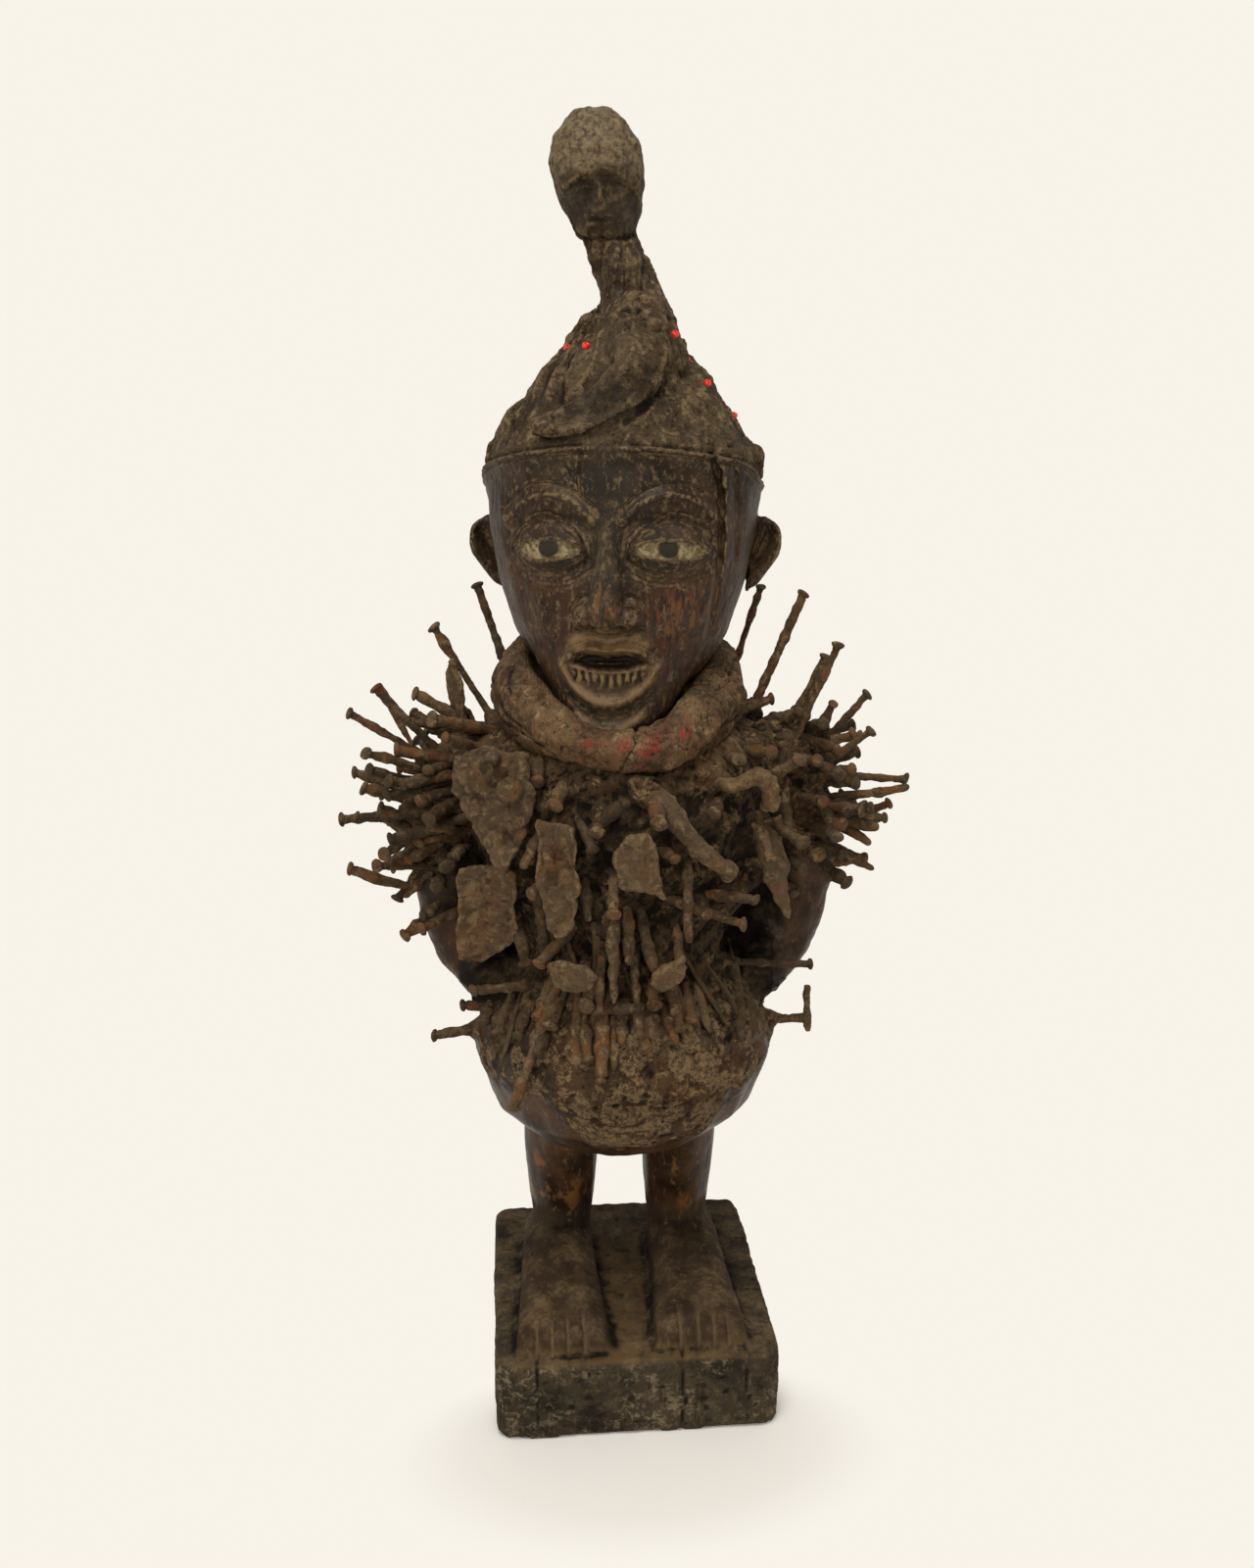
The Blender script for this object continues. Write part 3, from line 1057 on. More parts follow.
def forgeIron(name, material, seed):
    grid, rounds, swell, warp, lumps, curl = flatValues[name]
    made = recast(solidFrom(name), grid)
    made.soften(rounds)
    p = made.points
    free = ramp(0, 10, np.linalg.norm(p - ironRoot(name)[0], axis=1) - 7)  # 0 at its foot in the wood
    # the sheet is bent across its width, and its edges are ragged
    flat = p - p.mean(axis=0)
    ways = np.linalg.svd(flat, full_matrices=False)[2]
    along, wide = flat @ ways[0], flat @ ways[1]
    toEye = ways[2] * (-1 if ways[2][1] > 0 else 1)
    share, part = wide / np.abs(wide).max(), along / np.abs(along).max()
    bend = (share ** 2 - 0.33 + 0.7 * share * part) * curl * 0.7
    shift = shiftNoise(p, 11, range(seed, seed + 3)) + 0.4 * shiftNoise(p, 4.5, range(seed + 5, seed + 8))
    made.points += (bend[:, None] * toEye + shift * warp) * free[:, None]
    pits = ramp(0.42, 0.2, cellNoise(p, 4.5, seed + 13)[0]) * ramp(-0.1, 0.3, softNoise(p, 9, seed + 14))
    crumbs = lumps * layeredNoise(p, 9, seed + 9, 4) + 0.2 * softNoise(p, 2.2, seed + 12)
    made.push(swell + crumbs - pits * 0.4)
    # rust lifts in ridges along the sheet
    ridges = softNoise(np.stack([along * 0.3, wide, along * 0], 1), 4.5, seed + 15)
    made.push(ridges * lumps * 0.7 * free)
    made.marks["hollow"] = made.hollows(4) * 3 + 0.5 * (1 - free)
    made.marks["tint"] = np.full(len(p), np.random.RandomState(seed).uniform(0.3, 0.9))
    made.show(camelName(name), material, "iron", [name])


rollValues = {
    "grid": 1.35, "lumps": 1.7, "lobes": 1.2,
    "creaseRows": ((7, 131), (-4, 132), (-11, 133)),  # height over the roll's middle, and seed
    "creases": 1.3, "creaseWidth": 1.3, "wander": 6,
    "chinDent": 7.5,
    "split": 3.0, "splitAt": -1.5, "splitWidth": 1.2,
    "redSpots": ((-6, 351, 3.2), (2, 349, 4.2), (8, 352, 3.0), (-23, 353, 3.0), (21, 356, 3.2)),
}


def carveRoll(material):
    v = rollValues
    made = recast(solidFrom("neck_roll"), v["grid"])
    made.soften(14)
    p = made.points
    angle = np.arctan2(p[:, 0] + 4, -(p[:, 1] + 2))  # 0 at the front, above 0 towards the figure's left
    aside = abs(angle)
    lobes = hill(angle + 0.75, 0.55) + 0.8 * hill(angle - 0.85, 0.5)
    made.push(0.6 + layeredNoise(p, 24, 120) * v["lumps"] + lobes * v["lobes"])
    # soft creases that run round the roll and gather at the front
    level = p[:, 2] - 371 + 21 * np.clip(np.cos(angle), 0, 1) ** 1.6
    for height, seed in v["creaseRows"]:
        wander = softNoise(np.stack([angle * 22, angle * 0, angle * 0], 1), 13, seed) * v["wander"]
        broken = ramp(-0.3, 0.25, softNoise(p, 20, seed + 5)) * ramp(0.45, 0.95, aside)
        made.push(-hill(level - height - wander, v["creaseWidth"]) * v["creases"] * broken)
    # the chin rests on it, and the two ends of the cloth meet there
    made.points[:, 2] -= v["chinDent"] * ramp(0.62, 0.15, aside) * ramp(352, 368, p[:, 2])
    meet = p[:, 0] - v["splitAt"] - (p[:, 2] - 356) * 0.35 - softNoise(p, 9, 141) * 1.8
    atFront = ramp(0.5, 0.3, aside) * ramp(-30, -40, p[:, 1])
    made.push(-hill(meet, v["splitWidth"]) * v["split"] * atFront)
    made.push(hill(meet, 7) * 0.9 * atFront)
    pits = cellNoise(p + softNoise(p, 5, 142)[:, None], 6.5, 143)[1]
    made.push(-ramp(0.12, 0.0, pits) * 0.55 * ramp(-0.1, 0.4, softNoise(p, 17, 144)))
    made.push(layeredNoise(p, 3.6, 145, 2) * 0.42)
    made.marks["hollow"] = made.hollows(5) * 3  # from here on p is the softened surface
    # red pigment in spots by the front: place across, height, size
    stray = softNoise(p, 5, 147) * 2.5
    for across, height, size in v["redSpots"]:
        away = np.hypot(p[:, 0] - across, (p[:, 2] - height) * 0.8) + stray
        made.mark("red", ramp(size, size * 0.4, away) * ramp(-20, -30, p[:, 1]))
    made.mark("flush", ramp(0.9, 0.4, abs(angle - 0.1)) * ramp(370, 357, p[:, 2]))
    made.show("neckRoll", material, "cloth", ["neck_roll"])


beadValues = {
    "radius": 1.75, "hole": 0.55, "long": 0.72,
    "rings": 18, "sides": 12,
    "axis": (0.3, -0.5, 0.8),
    # loose beads and a nail on the cap, by their places in the photo
    "extra": ((598, 353), (689, 341), (722, 391), (749, 424)),
    "capNail": (667, 331), "nailShank": 1.6, "nailHead": 3.7, "nailSeed": 77,
    "deep": (196, 26, 22), "bright": (236, 52, 44), "dirt": (96, 66, 48),
}


def beadForm(middle, seed):  # a small pierced bead
    v = beadValues
    axis = np.array(v["axis"]) / 0.99  # about 1 long
    across, lift = sideWays(axis)
    rings, sides = v["rings"], v["sides"]
    thick = (v["radius"] - v["hole"]) / 2
    places, faces = [], []
    for ring in range(rings):
        turn = ring / rings * 2 * math.pi
        out = across * math.cos(turn) + lift * math.sin(turn)
        start, onward = ring * sides, (ring + 1) % rings * sides
        for here in range(sides):
            bend = here / sides * 2 * math.pi
            rise = axis * math.sin(bend) * v["radius"] * v["long"]
            places.append(middle + out * (v["hole"] + thick + thick * math.cos(bend)) + rise)
            there = (here + 1) % sides
            faces.append((start + here, onward + here, onward + there, start + there))
    return np.array(places), faces, 0.5 + 0.4 * math.sin(seed)


# Finishes. Colours are given as they look in the photo, 0 to 255.

def tone(red, green, blue, gain=1.0):
    shares = [c / 255 for c in (red, green, blue)]
    light = [c / 12.92 if c < 0.04 else ((c + 0.055) / 1.055) ** 2.4 for c in shares]
    return tuple(min(1.0, gain * c) for c in light) + (1.0,)


def allTones(values):  # every colour of a finish, with its gain
    gain = values["gain"]
    return {name: tone(*value, gain) for name, value in values.items() if isinstance(value, tuple)}


class Bench:
    # a node tree with short calls
    def __init__(self, tree):
        self.tree = tree

    def add(self, kind, inputs=None, **settings):
        made = self.tree.nodes.new("ShaderNode" + kind)
        for name, value in settings.items():
            setattr(made, name, value)
        for name, value in (inputs or {}).items():
            if isinstance(value, bpy.types.NodeSocket):
                self.tree.links.new(value, made.inputs[name])
            else:
                made.inputs[name].default_value = value
        return made

    def use(self, group, inputs):
        return self.add("Group", inputs, node_tree=group).outputs

    def mix(self, share, low, high):  # two colours
        return self.add("Mix", {0: share, 6: low, 7: high}, data_type="RGBA").outputs[2]

    def blend(self, share, low, high):  # two values
        return self.add("Mix", {0: share, 2: low, 3: high}, data_type="FLOAT").outputs[0]

    def sum(self, operation, *values, clamp=False):
        return self.add("Math", dict(enumerate(values)), operation=operation, use_clamp=clamp).outputs[0]

    def scaled(self, value, share):
        return self.sum("MULTIPLY", value, share)

    def swing(self, value, share):  # a noise's swing round its middle
        return self.scaled(self.sum("SUBTRACT", value, 0.5), share)

    def most(self, *values):
        best = values[-1]
        for value in values[-2::-1]:
            best = self.sum("MAXIMUM", value, best)
        return best

    def vectors(self, operation, first, second):
        return self.add("VectorMath", {0: first, 1: second}, operation=operation).outputs[0]

    def band(self, value, low, high, start=0.0, end=1.0):
        inputs = {0: value, 1: low, 2: high, 3: start, 4: end}
        return self.add("MapRange", inputs, interpolation_type="SMOOTHSTEP").outputs[0]

    def noise(self, where, scale, detail=4.0, rough=0.55, bend=0.0):
        inputs = {"Vector": where, "Scale": scale, "Detail": detail, "Roughness": rough, "Distortion": bend}
        return self.add("TexNoise", inputs).outputs[0]

    def patches(self, where, noise, band):  # a noise cut to a band
        return self.band(self.noise(where, *noise), *band)

    def stretched(self, where, scale):
        return self.add("Mapping", {"Vector": where, "Scale": scale}).outputs[0]

    def mark(self, name):
        return self.add("Attribute", attribute_name=name, attribute_type="GEOMETRY").outputs["Fac"]

    def marked(self, name, where, noise, band):  # patches where the carving left a mark
        return self.scaled(self.mark(name), self.patches(where, noise, band))

    def upward(self):  # how far a surface faces up
        return self.add("SeparateXYZ", {0: self.add("NewGeometry").outputs["Normal"]}).outputs[2]

    def link(self, value, socket):
        self.tree.links.new(value, socket)


black = (0.0, 0.0, 0.0, 1.0)


def newGroup(name, takes, gives):
    group = bpy.data.node_groups.new(name, "ShaderNodeTree")
    kinds = {str: "NodeSocketVector", tuple: "NodeSocketColor", float: "NodeSocketFloat"}
    for label, value in takes.items():
        socket = group.interface.new_socket(label, in_out="INPUT", socket_type=kinds[type(value)])
        if not isinstance(value, str):
            socket.default_value = value
    for label, kind in gives.items():
        group.interface.new_socket(label, in_out="OUTPUT", socket_type="NodeSocket" + kind)
    start, end = group.nodes.new("NodeGroupInput"), group.nodes.new("NodeGroupOutput")
    return group, Bench(group), start.outputs, end.inputs


def makeFibreGroup():  # upright fibres of the log, with darker pores
    group, bench, takes, gives = newGroup(
        "fibreGrain", {"Vector": "place", "Scale": 260.0, "Length": 14.0},
        {"Streaks": "Float", "Height": "Float"},
    )
    wander = bench.noise(takes["Vector"], 40, 2)
    shift = bench.add("CombineXYZ", {0: bench.scaled(wander, 0.008), 1: bench.scaled(wander, -0.007)})
    bent = bench.vectors("ADD", takes["Vector"], shift.outputs[0])
    squash = bench.add("CombineXYZ", {0: 1.0, 1: 1.0, 2: bench.sum("DIVIDE", 1.0, takes["Length"])})
    long = bench.vectors("MULTIPLY", bent, squash.outputs[0])
    coarse = bench.noise(long, takes["Scale"], 5, 0.6)
    fine = bench.noise(long, bench.scaled(takes["Scale"], 3.1), 3, 0.5)
    both = bench.sum("ADD", bench.scaled(coarse, 0.6), bench.scaled(fine, 0.4))
    bench.link(bench.band(both, 0.38, 0.64), gives["Streaks"])
    bench.link(both, gives["Height"])
    return group


def makeCrustGroup():  # dried clay and blood: blotched, grainy, with pale crumbs and a few fine cracks
    colours = dict.fromkeys(("Dark", "Mid", "Warm", "Pale"), black)
    group, bench, takes, gives = newGroup(
        "driedCrust", {"Vector": "place"} | colours | {"Scale": 160.0, "Cracks": 0.3},
        {"Color": "Color", "Height": "Float"},
    )
    where, scale = takes["Vector"], takes["Scale"]
    broad = bench.noise(where, bench.scaled(scale, 0.2), 3, 0.6)
    medium = bench.noise(where, bench.scaled(scale, 0.75), 5, 0.62, 0.5)
    small = bench.noise(where, bench.scaled(scale, 1.9), 5, 0.65)
    grit = bench.noise(where, bench.scaled(scale, 5.0), 5, 0.7)
    wander = bench.noise(where, bench.scaled(scale, 0.9), 4, 0.6)
    shift = bench.add("CombineXYZ", {0: bench.scaled(wander, 0.02), 2: bench.scaled(wander, -0.015)})
    bent = bench.vectors("ADD", where, shift.outputs[0])
    net = {"Vector": bent, "Scale": bench.scaled(scale, 0.7)}
    cells = bench.add("TexVoronoi", net, feature="DISTANCE_TO_EDGE")
    line = bench.band(cells.outputs[0], 0.05, 0.0)
    line = bench.scaled(bench.scaled(line, bench.band(medium, 0.5, 0.62)), takes["Cracks"])
    colour = bench.mix(bench.band(broad, 0.44, 0.6), takes["Mid"], takes["Warm"])
    colour = bench.mix(bench.band(medium, 0.5, 0.66, 0.0, 0.8), colour, takes["Pale"])
    colour = bench.mix(bench.band(small, 0.48, 0.32, 0.0, 0.85), colour, takes["Dark"])
    colour = bench.mix(bench.band(grit, 0.46, 0.34, 0.0, 0.7), colour, takes["Dark"])
    colour = bench.mix(bench.band(grit, 0.58, 0.7, 0.0, 0.6), colour, takes["Pale"])
    bench.link(bench.mix(line, colour, takes["Dark"]), gives["Color"])
    height = bench.sum("ADD", bench.scaled(small, 0.5), bench.scaled(grit, 0.45))
    bench.link(bench.sum("SUBTRACT", height, bench.scaled(line, 0.5)), gives["Height"])
    return group


def makeGrimeGroup():  # dark or dusty in the hollows, dust on what faces up, rubbed on the edges
    group, bench, takes, gives = newGroup(
        "grimeAndDust",
        {"Color": black, "Vector": "place", "Grime": black, "Dust": black, "Rubbed": black,
         "Grime Amount": 0.8, "Dust Amount": 0.4, "Rubbed Amount": 0.4},
        {"Color": "Color", "Dust Mask": "Float"},
    )
    hollow = bench.mark("hollow")
    deep = bench.sum("MULTIPLY", bench.band(hollow, 0.05, 0.9), takes["Grime Amount"], clamp=True)
    proud = bench.band(hollow, -0.1, -0.8)
    specks = bench.noise(takes["Vector"], 420, 4, 0.7)
    patches = bench.noise(takes["Vector"], 55, 4, 0.6)
    colour = bench.mix(deep, takes["Color"], takes["Grime"])
    rubbed = bench.scaled(proud, bench.band(specks, 0.42, 0.6))
    rubbed = bench.sum("MULTIPLY", rubbed, takes["Rubbed Amount"], clamp=True)
    colour = bench.mix(rubbed, colour, takes["Rubbed"])
    settled = bench.scaled(bench.band(bench.upward(), 0.0, 0.9, 0.25, 1.0), bench.band(patches, 0.42, 0.66))
    settled = bench.scaled(settled, bench.band(specks, 0.36, 0.62, 0.35, 1.0))
    dust = bench.sum("MULTIPLY", settled, takes["Dust Amount"], clamp=True)
    bench.link(bench.mix(dust, colour, takes["Dust"]), gives["Color"])
    bench.link(dust, gives["Dust Mask"])
    return group


fibreGrain, driedCrust, grimeAndDust = makeFibreGroup(), makeCrustGroup(), makeGrimeGroup()


def newFinish(name):
    made = bpy.data.materials.new(name)
    made.use_nodes = True
    bench = Bench(made.node_tree)
    shader = made.node_tree.nodes["Principled BSDF"]
    return made, bench, shader, bench.add("TexCoord").outputs["Object"]


def crusted(bench, place, scale, cracks, t, names=("dark", "mid", "warm", "pale")):
    colours = {label: t[name] for label, name in zip(("Dark", "Mid", "Warm", "Pale"), names)}
    return bench.use(driedCrust, {"Vector": place, "Scale": scale, "Cracks": cracks} | colours)


def grimed(bench, place, colour, t, grime, dust, rubbed):
    return bench.use(grimeAndDust, {
        "Color": colour, "Vector": place, "Grime": t["grime"], "Dust": t["dust"], "Rubbed": t["rubbed"],
        "Grime Amount": grime, "Dust Amount": dust, "Rubbed Amount": rubbed,
    })


def fit(bench, shader, colour, rough, height, depth, gloss=0.15):
    bench.link(colour, shader.inputs["Base Color"])
    bench.link(rough, shader.inputs["Roughness"])
    shader.inputs["Specular IOR Level"].default_value = gloss
    bump = bench.add("Bump", {"Strength": 1.0, "Distance": depth, "Height": height})
    bench.link(bump.outputs[0], shader.inputs["Normal"])


bodyValues = {
    "dark": (30, 19, 12), "mid": (65, 42, 24), "pale": (96, 73, 48), "worn": (104, 69, 34),
    "crustDark": (18, 13, 9), "crustMid": (64, 49, 34),
    "crustWarm": (66, 44, 26), "crustPale": (132, 107, 73),
    "grime": (11, 7, 4), "dust": (118, 97, 69), "rubbed": (116, 92, 61),
    "block": (56, 47, 34), "blockDark": (28, 24, 17), "blockPale": (112, 99, 78),
    "foot": (50, 39, 26), "strip": (82, 63, 39),
    "gain": 1.1,
}


def makeBodyWood():
    made, bench, shader, place = newFinish("oiledWood")
    t = allTones(bodyValues)
    grain = bench.use(fibreGrain, {"Vector": place, "Scale": 300.0, "Length": 12.0})
    broad = bench.noise(place, 34, 4, 0.6)
    flecks = bench.noise(bench.stretched(place, (1, 1, 0.45)), 300, 5, 0.7)
    block, feet = bench.mark("block"), bench.mark("feet")
    colour = bench.mix(bench.band(broad, 0.4, 0.62), t["dark"], t["mid"])
    colour = bench.mix(bench.scaled(grain["Streaks"], 0.4), colour, t["dark"])
    colour = bench.mix(bench.scaled(bench.band(flecks, 0.56, 0.66), 0.65), colour, t["pale"])
    # the block: sooty, with flaked and scratched pale places on its sides
    sooty = bench.mix(bench.band(broad, 0.36, 0.6), t["blockDark"], t["block"])
    scrape = bench.patches(bench.stretched(place, (1, 1, 1.3)), (210, 8, 0.8, 0.6), (0.5, 0.58, 0.0, 0.8))
    scrape = bench.scaled(scrape, bench.patches(place, (48, 4, 0.6), (0.42, 0.6, 0.15, 1.0)))
    scrape = bench.scaled(scrape, bench.band(bench.upward(), 0.3, 0.9, 1.0, 0.25))
    sooty = bench.mix(scrape, sooty, t["blockPale"])
    sooty = bench.mix(bench.band(grain["Height"], 0.47, 0.37, 0.0, 0.8), sooty, t["blockDark"])
    colour = bench.mix(block, colour, sooty)
    # dull feet, the dust before and between them, and legs worn to the bare wood
    dull = bench.marked("feet", place, (70, 5, 0.65), (0.34, 0.6, 0.4, 0.9))
    colour = bench.mix(bench.scaled(dull, bench.band(block, 1.0, 0.0)), colour, t["foot"])
    colour = bench.mix(bench.scaled(bench.band(flecks, 0.55, 0.68, 0.0, 0.45), feet), colour, t["pale"])
    strip = bench.marked("strip", place, (90, 5, 0.65), (0.34, 0.6, 0.3, 0.9))
    colour = bench.mix(strip, colour, t["strip"])
    worn = bench.marked("worn", bench.stretched(place, (1, 1, 0.5)), (110, 6, 0.66), (0.5, 0.58, 0.0, 0.8))
    colour = bench.mix(worn, colour, t["worn"])
    # the crust has a ragged border
    crust = crusted(bench, place, 170.0, 0.8, t, ("crustDark", "crustMid", "crustWarm", "crustPale"))
    ragged = bench.swing(bench.noise(place, 120, 5, 0.65), 1.1)
    onCrust = bench.band(bench.sum("ADD", bench.mark("crust"), ragged), 0.38, 0.52)
    colour = bench.mix(onCrust, colour, crust["Color"])
    dusty = bench.band(bench.sum("ADD", bench.mark("dust"), ragged), 0.5, 0.72, 0.0, 0.85)
    powder = bench.mix(bench.band(crust["Height"], 0.4, 0.54), t["crustMid"], t["dust"])
    colour = bench.mix(dusty, colour, powder)
    grime = grimed(bench, place, colour, t, 0.95, 0.5, 0.9)
    colour = bench.mix(bench.scaled(bench.mark("toes"), 0.8), grime["Color"], t["dust"])
    flat = bench.most(block, feet, onCrust, grime["Dust Mask"], dusty)
    rough = bench.band(flat, 0.0, 1.0, 0.4, 0.9)
    rough = bench.sum("ADD", rough, bench.swing(grain["Height"], 0.35))
    height = bench.blend(bench.most(onCrust, dusty), bench.scaled(grain["Height"], 0.16), crust["Height"])
    fit(bench, shader, colour, rough, height, 0.0022, 0.13)
    return made


headTones = {
    "dark": (28, 21, 14), "mid": (51, 38, 27), "pale": (94, 77, 55), "worn": (98, 62, 34),
    "smoke": (38, 33, 27), "lobe": (36, 31, 25), "ember": (56, 33, 19),
    "capMid": (70, 57, 40), "capDark": (20, 15, 10), "capWarm": (50, 36, 23), "capPale": (132, 112, 81),
    "tan": (116, 90, 61), "white": (106, 92, 65), "whitePale": (148, 132, 97),
    "pupil": (44, 39, 31), "mouth": (40, 32, 23), "knob": (116, 101, 75),
    "crease": (112, 89, 60), "grime": (14, 10, 7), "dust": (112, 93, 66), "rubbed": (108, 87, 59),
    "gain": 1.1,
}


def makeHeadWood():
    made, bench, shader, place = newFinish("handledWood")
    t = allTones(headTones)
    grain = bench.use(fibreGrain, {"Vector": place, "Scale": 520.0, "Length": 9.0})
    broad = bench.noise(place, 42, 5, 0.62)
    flecks = bench.noise(bench.stretched(place, (1, 1, 0.6)), 360, 6, 0.72)
    cap, smoke, hollow = bench.mark("cap"), bench.mark("smoke"), bench.mark("hollow")
    colour = bench.mix(bench.band(broad, 0.42, 0.62), t["dark"], t["mid"])
    colour = bench.mix(bench.scaled(grain["Streaks"], 0.35), colour, t["dark"])
    ember = bench.scaled(bench.mark("ember"), bench.band(grain["Height"], 0.42, 0.56))
    colour = bench.mix(ember, colour, t["ember"])
    colour = bench.mix(bench.scaled(smoke, 0.8), colour, t["smoke"])
    colour = bench.mix(bench.band(flecks, 0.53, 0.64, 0.0, 0.8), colour, t["pale"])
    colour = bench.mix(bench.patches(place, (950, 3, 0.6), (0.64, 0.7, 0.0, 0.5)), colour, t["tan"])
    worn = bench.marked("worn", bench.stretched(place, (1, 1, 0.3)), (330, 5, 0.66), (0.48, 0.6, 0.0, 0.7))
    colour = bench.mix(worn, colour, t["worn"])
    # the cap's crust, its pale crown, and tan lips and chin
    crust = crusted(bench, place, 200.0, 0.25, t, ("capDark", "capMid", "capWarm", "capPale"))
    onCap = bench.scaled(cap, bench.patches(place, (60, 5, 0.62), (0.38, 0.54, 0.15, 1.0)))
    colour = bench.mix(onCap, colour, crust["Color"])
    colour = bench.mix(bench.marked("knob", place, (330, 6, 0.7), (0.38, 0.62, 0.1, 0.85)), colour, t["knob"])
    colour = bench.mix(bench.marked("tan", place, (190, 4), (0.3, 0.56, 0.25, 0.9)), colour, t["tan"])
    # pale dirt lies in the carved lines, and only the deepest are black
    line = bench.scaled(bench.band(hollow, 0.12, 0.5), bench.band(cap, 1.0, 0.0, 0.4, 1.0))
    line = bench.scaled(line, bench.patches(place, (150, 5, 0.65), (0.42, 0.62, 0.05, 0.65)))
    colour = bench.mix(line, colour, t["crease"])
    grime = grimed(bench, place, colour, t, 0.0, 0.42, 0.9)
    deep = bench.sum("ADD", hollow, bench.scaled(cap, 0.2))
    deep = bench.sum("ADD", deep, bench.swing(bench.noise(place, 260, 4, 0.65), 0.9))
    colour = bench.mix(bench.band(deep, 0.4, 1.3, 0.0, 0.85), grime["Color"], t["grime"])
    colour = bench.mix(bench.marked("lobe", place, (170, 5, 0.65), (0.36, 0.56, 0.2, 0.9)), colour, t["lobe"])
    # chalked eyes with their pupils, and the dark mouth
    chalk = bench.mix(bench.patches(place, (330, 4, 0.6), (0.42, 0.62)), t["white"], t["whitePale"])
    colour = bench.mix(bench.marked("white", place, (300, 5, 0.7), (0.36, 0.52, 0.2, 1.0)), colour, chalk)
    colour = bench.mix(bench.mark("pupil"), colour, t["pupil"])
    colour = bench.mix(bench.mark("mouth"), colour, t["mouth"])
    flat = bench.most(onCap, grime["Dust Mask"], bench.scaled(smoke, 0.7))
    rough = bench.band(flat, 0.0, 1.0, 0.42, 0.9)
    rough = bench.sum("ADD", rough, bench.swing(flecks, 0.4))
    smooth = bench.sum("ADD", bench.scaled(grain["Height"], 0.11), bench.scaled(flecks, 0.09))
    fit(bench, shader, colour, rough, bench.blend(onCap, smooth, crust["Height"]), 0.0023, 0.12)
    return made


ironTones = {
    "dark": (24, 18, 12), "mid": (78, 61, 41), "warm": (72, 52, 33), "pale": (128, 106, 74),
    "rust": (116, 70, 33), "grime": (14, 10, 7), "dust": (124, 104, 76), "rubbed": (116, 95, 68),
    "gain": 1.1, "rustShare": 0.42, "grimeShare": 0.9, "scale": 260.0,
}
# the plates are more even under their crust, and browner
plateTones = ironTones | {
    "dark": (48, 38, 26), "mid": (77, 61, 42), "warm": (84, 63, 41), "pale": (108, 88, 61),
    "gain": 1.14, "rustShare": 0.14, "grimeShare": 0.55, "scale": 240.0,
}


def makeIron(name, v):
    made, bench, shader, place = newFinish(name)
    t = allTones(v)
    crust = crusted(bench, place, v["scale"], 0.0, t)
    tint = bench.mark("tint")
    colour = bench.mix(bench.band(tint, 0.0, 0.6, 0.55, 0.0), crust["Color"], t["dark"])
    blotches = bench.sum("ADD", bench.noise(place, 95, 4, 0.6), bench.scaled(tint, 0.12))
    colour = bench.mix(bench.band(blotches, 0.56, 0.7, 0.0, v["rustShare"]), colour, t["rust"])
    grime = grimed(bench, place, colour, t, v["grimeShare"], 0.5, 0.8)
    rough = bench.band(crust["Height"], 0.2, 0.9, 0.6, 0.95)
    fit(bench, shader, grime["Color"], rough, crust["Height"], 0.0018)
    return made


rollTones = {
    "dark": (38, 26, 17), "mid": (96, 73, 48), "warm": (86, 60, 39), "pale": (150, 124, 90),
    "flush": (112, 74, 54), "red": (128, 42, 38),
    "grime": (18, 12, 7), "dust": (128, 107, 77), "rubbed": (126, 101, 71),
    "gain": 1.1,
}


def makeRollCloth():
    made, bench, shader, place = newFinish("stiffCloth")
    t = allTones(rollTones)
    crust = crusted(bench, place, 180.0, 1.0, t)
    colour = bench.mix(0.15, crust["Color"], t["mid"])
    colour = bench.mix(bench.patches(place, (60, 4, 0.6), (0.54, 0.42, 0.0, 0.68)), colour, t["dark"])
    flush = bench.marked("flush", place, (150, 5, 0.62), (0.44, 0.64, 0.0, 0.6))
    colour = bench.mix(flush, colour, t["flush"])
    colour = bench.mix(bench.marked("red", place, (340, 5, 0.65), (0.4, 0.56)), colour, t["red"])
    grime = grimed(bench, place, colour, t, 0.9, 0.3, 0.4)
    weave = {"Vector": place, "Scale": 190.0, "Distortion": 5.0, "Detail": 3.0, "Detail Scale": 1.4}
    threads = bench.add("TexWave", weave).outputs["Fac"]
    height = bench.sum("ADD", crust["Height"], bench.scaled(threads, 0.12))
    rough = bench.band(crust["Height"], 0.2, 0.9, 0.72, 0.96)
    fit(bench, shader, grime["Color"], rough, height, 0.0018)
    return made


def makeRedGlass():
    v = beadValues
    made, bench, shader, place = newFinish("redBead")
    shade = bench.patches(place, (500, 3), (0.35, 0.65))
    colour = bench.mix(shade, tone(*v["deep"]), tone(*v["bright"]))
    colour = bench.mix(bench.patches(place, (900, 3), (0.62, 0.7, 0.0, 0.6)), colour, tone(*v["dirt"]))
    rough = bench.patches(place, (700, 3), (0.3, 0.7, 0.12, 0.45))
    fit(bench, shader, colour, rough, bench.noise(place, 1200, 3), 0.00012)
    shader.inputs["Coat Weight"].default_value = 0.5
    return made


oiledWood, handledWood = makeBodyWood(), makeHeadWood()
nailIron, plateIron = makeIron("nailIron", ironTones), makeIron("plateIron", plateTones)
stiffCloth, redBead = makeRollCloth(), makeRedGlass()
print("finishes made")


# The figure's pieces

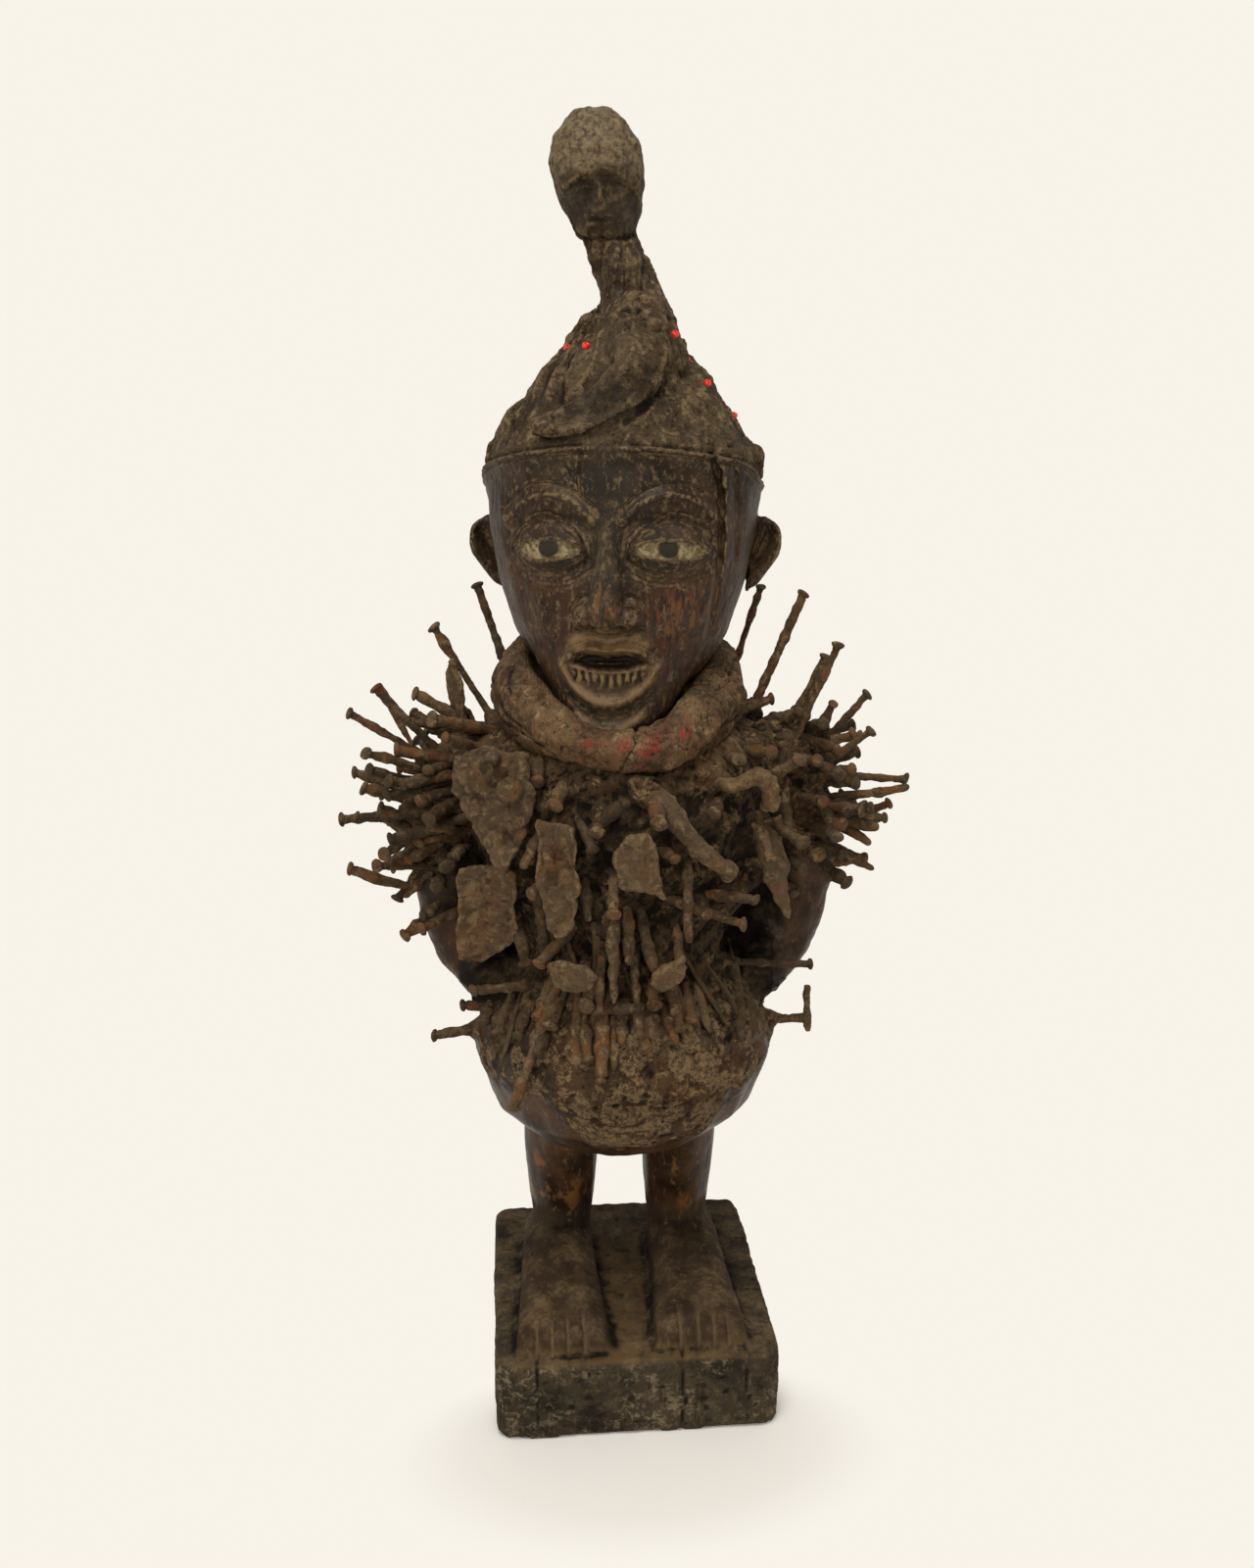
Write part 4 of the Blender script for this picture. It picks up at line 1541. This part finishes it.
def markTrunk(made):
    creases = np.maximum(made.hollows(6) * 2.6, made.hollows(26) * 0.6)
    creases = np.maximum(creases, made.marks.pop("gap") * 1.4)
    points = made.points
    y, z = points[:, 1], points[:, 2]
    # less black in the rim's creases, and more among the nails
    creases *= 1 - 0.45 * ramp(222, 206, z) * ramp(148, 156, z)
    thicket = ramp(-15, -35, y) * ramp(336, 318, z + 6 * softNoise(points, 12, 171)) * ramp(212, 226, z)
    made.marks["hollow"] = creases + 0.4 * thicket
    made.mark("block", 1 - ramp(42.5, 46, z))
    made.mark("feet", ramp(84, 72, z))
    made.mark("worn", ramp(160, 130, z) * ramp(66, 84, z) * ramp(-0.1, 0.5, softNoise(points, 14, 170)))


def markHead(made):
    made.marks["hollow"] = made.hollows(7) * 2.4
    u, v, z = headPlaces(made.points).T
    out, fore = abs(u), ramp(-10, -30, v) * ramp(480, 470, z)
    cheek = ramp(1.2, 0.3, np.hypot((u - 32) / 17, (z - 406) / 18))
    ridge = ramp(1.2, 0.4, np.hypot(u / 7, (z - 412) / 14)) * ramp(-45, -60, v)
    made.mark("worn", np.clip(cheek * fore + ridge * 0.9, 0, 1))
    # soot on the brow and round the eyes
    soot = ramp(1.4, 0.5, np.hypot(u / 15, (z - 444) / 30))
    soot = soot + ramp(1.4, 0.6, np.hypot((out - 27) / 22, (z - 437) / 14)) * 0.7
    soot = np.clip(soot * fore + 0.4 * softNoise(made.points, 13, 172), 0, 1)
    made.mark("smoke", soot * ramp(-10, -30, v))
    made.mark("ember", ramp(1.5, 0.6, np.hypot((out - 38) / 26, (z - 410) / 46)) * ramp(480, 470, z))


def driveNails(wood):
    for number, name in enumerate(nailNames):
        root, tip, axis = ironRoot(name)
        form = nailForm(root, tip - axis * nailValues["tipGap"], 200 + number, bend=1.0)
        joinForms(camelName(name), [form], nailIron, [name])
    for order, (part, entries) in enumerate(smallIrons.items()):
        forms = [smallIron(wood, entry, 300 + 40 * order + k) for k, entry in enumerate(entries)]
        joinForms(part + "SmallNails", forms, nailIron)
    joinForms("rearSmallNails", rearNails(wood), nailIron)


def hangIrons(wood):
    forms = [splintForm(wood, entry, 500 + k) for k, entry in enumerate(splintValues["entries"])]
    joinForms("waistSplints", forms, plateIron)
    for number, name in enumerate(flatNames + barNames):
        forgeIron(name, plateIron, 600 + 20 * number)


def setBeads(surface):
    v = beadValues
    for number in range(1, 6):
        low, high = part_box(f"bead_{number}")
        middle = (np.array(low) + np.array(high)) * 500
        joinForms(f"bead{number}", [beadForm(middle, number)], redBead, [f"bead_{number}"])
    extra = []
    for k, (across, down) in enumerate(v["extra"]):
        eye, line = photoRay(across, down)
        place = surface.ray_cast(Vector(eye), Vector(line))[0]
        if place is not None:
            extra.append(beadForm(np.array(place) - line * 0.6, k))
    joinForms("looseBeads", extra, redBead)
    eye, line = photoRay(*v["capNail"])
    place = np.array(surface.ray_cast(Vector(eye), Vector(line))[0])
    form = nailForm(place + line * 7, place - line * 2.3, v["nailSeed"], v["nailShank"], v["nailHead"])
    joinForms("capNail", [form], nailIron)


trunk = carveTrunk()
markTrunk(trunk)
trunk.showHalves(figureValues["baseCut"], ("carvedBase", "carvedTrunk"), oiledWood)
print("trunk carved,", len(trunk.quads), "faces")
head = carveHead()
markHead(head)
head.showHalves(figureValues["capCut"], ("carvedHead", "carvedCap"), handledWood)
print("head carved,", len(head.quads), "faces")
trunkSurface = surfaceOf(trunk)
driveNails(trunkSurface)
print("nails driven")
hangIrons(trunkSurface)
print("irons forged")
carveRoll(stiffCloth)
setBeads(surfaceOf(head))
print("roll and beads made")


# The studio

studioValues = {
    "paper": (248, 243, 233),
    "floorGain": 0.9,
    "floorReach": 8,
    "shade": (0.085, 1.8),  # how far in front of the block its soft shadow lies, and how flat that is
    "fade": (0.07, 0.13),  # over these distances from there the floor turns into the plain backdrop
    "sky": 0.48,
    "skyTone": (1.0, 0.98, 0.95, 1.0),
    # lamp: place, what it looks at, size in metres, watts
    "softFront": ((-0.7, -1.9, 1.3), (0, 0, 0.3), 0.9, 14.0),
    "softTop": ((-0.25, -0.75, 2.1), (0, 0, 0.3), 0.9, 24.0),
}


def makeFloor():
    v = studioValues
    mesh = bpy.data.meshes.new("studioFloor")
    turns = np.linspace(0, 2 * math.pi, 64, endpoint=False)
    rim = [(v["floorReach"] * math.cos(turn), v["floorReach"] * math.sin(turn), 0) for turn in turns]
    mesh.from_pydata(rim, [], [range(64)])
    floor = bpy.data.objects.new("studioFloor", mesh)
    shelf.objects.link(floor)
    paper, bench, shader, place = newFinish("studioPaper")
    shader.inputs["Base Color"].default_value = tone(*v["paper"], v["floorGain"])
    shader.inputs["Roughness"].default_value = 1.0
    shader.inputs["Specular IOR Level"].default_value = 0.0
    # away from the figure, the floor turns into the plain backdrop
    middle, stretch = v["shade"]
    moved = {"Vector": place, "Location": (0, middle * stretch, 0), "Scale": (1, stretch, 1)}
    near = bench.add("Mapping", moved)
    away = bench.add("VectorMath", {0: near.outputs[0]}, operation="LENGTH").outputs["Value"]
    glow = bench.add("Emission", {"Color": tone(*v["paper"]), "Strength": 1.0})
    both = bench.add("MixShader", {0: bench.band(away, *v["fade"]), 1: shader.outputs[0], 2: glow.outputs[0]})
    bench.link(both.outputs[0], bench.tree.nodes["Material Output"].inputs["Surface"])
    mesh.materials.append(paper)


def makeSky():
    v = studioValues
    world = bpy.data.worlds.new("studio")
    world.use_nodes = True
    bench = Bench(world.node_tree)
    seen = bench.add("Background", {"Color": tone(*v["paper"]), "Strength": 1.0})
    lit = bench.add("Background", {"Color": v["skyTone"], "Strength": v["sky"]})
    ray = bench.add("LightPath").outputs["Is Camera Ray"]
    both = bench.add("MixShader", {0: ray, 1: lit.outputs[0], 2: seen.outputs[0]})
    bench.link(both.outputs[0], world.node_tree.nodes["World Output"].inputs["Surface"])
    scene.world = world


def makeLamps():
    for name in ("softFront", "softTop"):
        place, target, size, watts = studioValues[name]
        lamp = bpy.data.lights.new(name, "AREA")
        lamp.energy = watts
        lamp.size = size
        made = bpy.data.objects.new(name, lamp)
        made.location = place
        made.rotation_euler = (Vector(place) - Vector(target)).to_track_quat("Z", "Y").to_euler()
        shelf.objects.link(made)


makeFloor()
makeSky()
makeLamps()
scene.view_settings.view_transform = "Standard"
print("studio set")
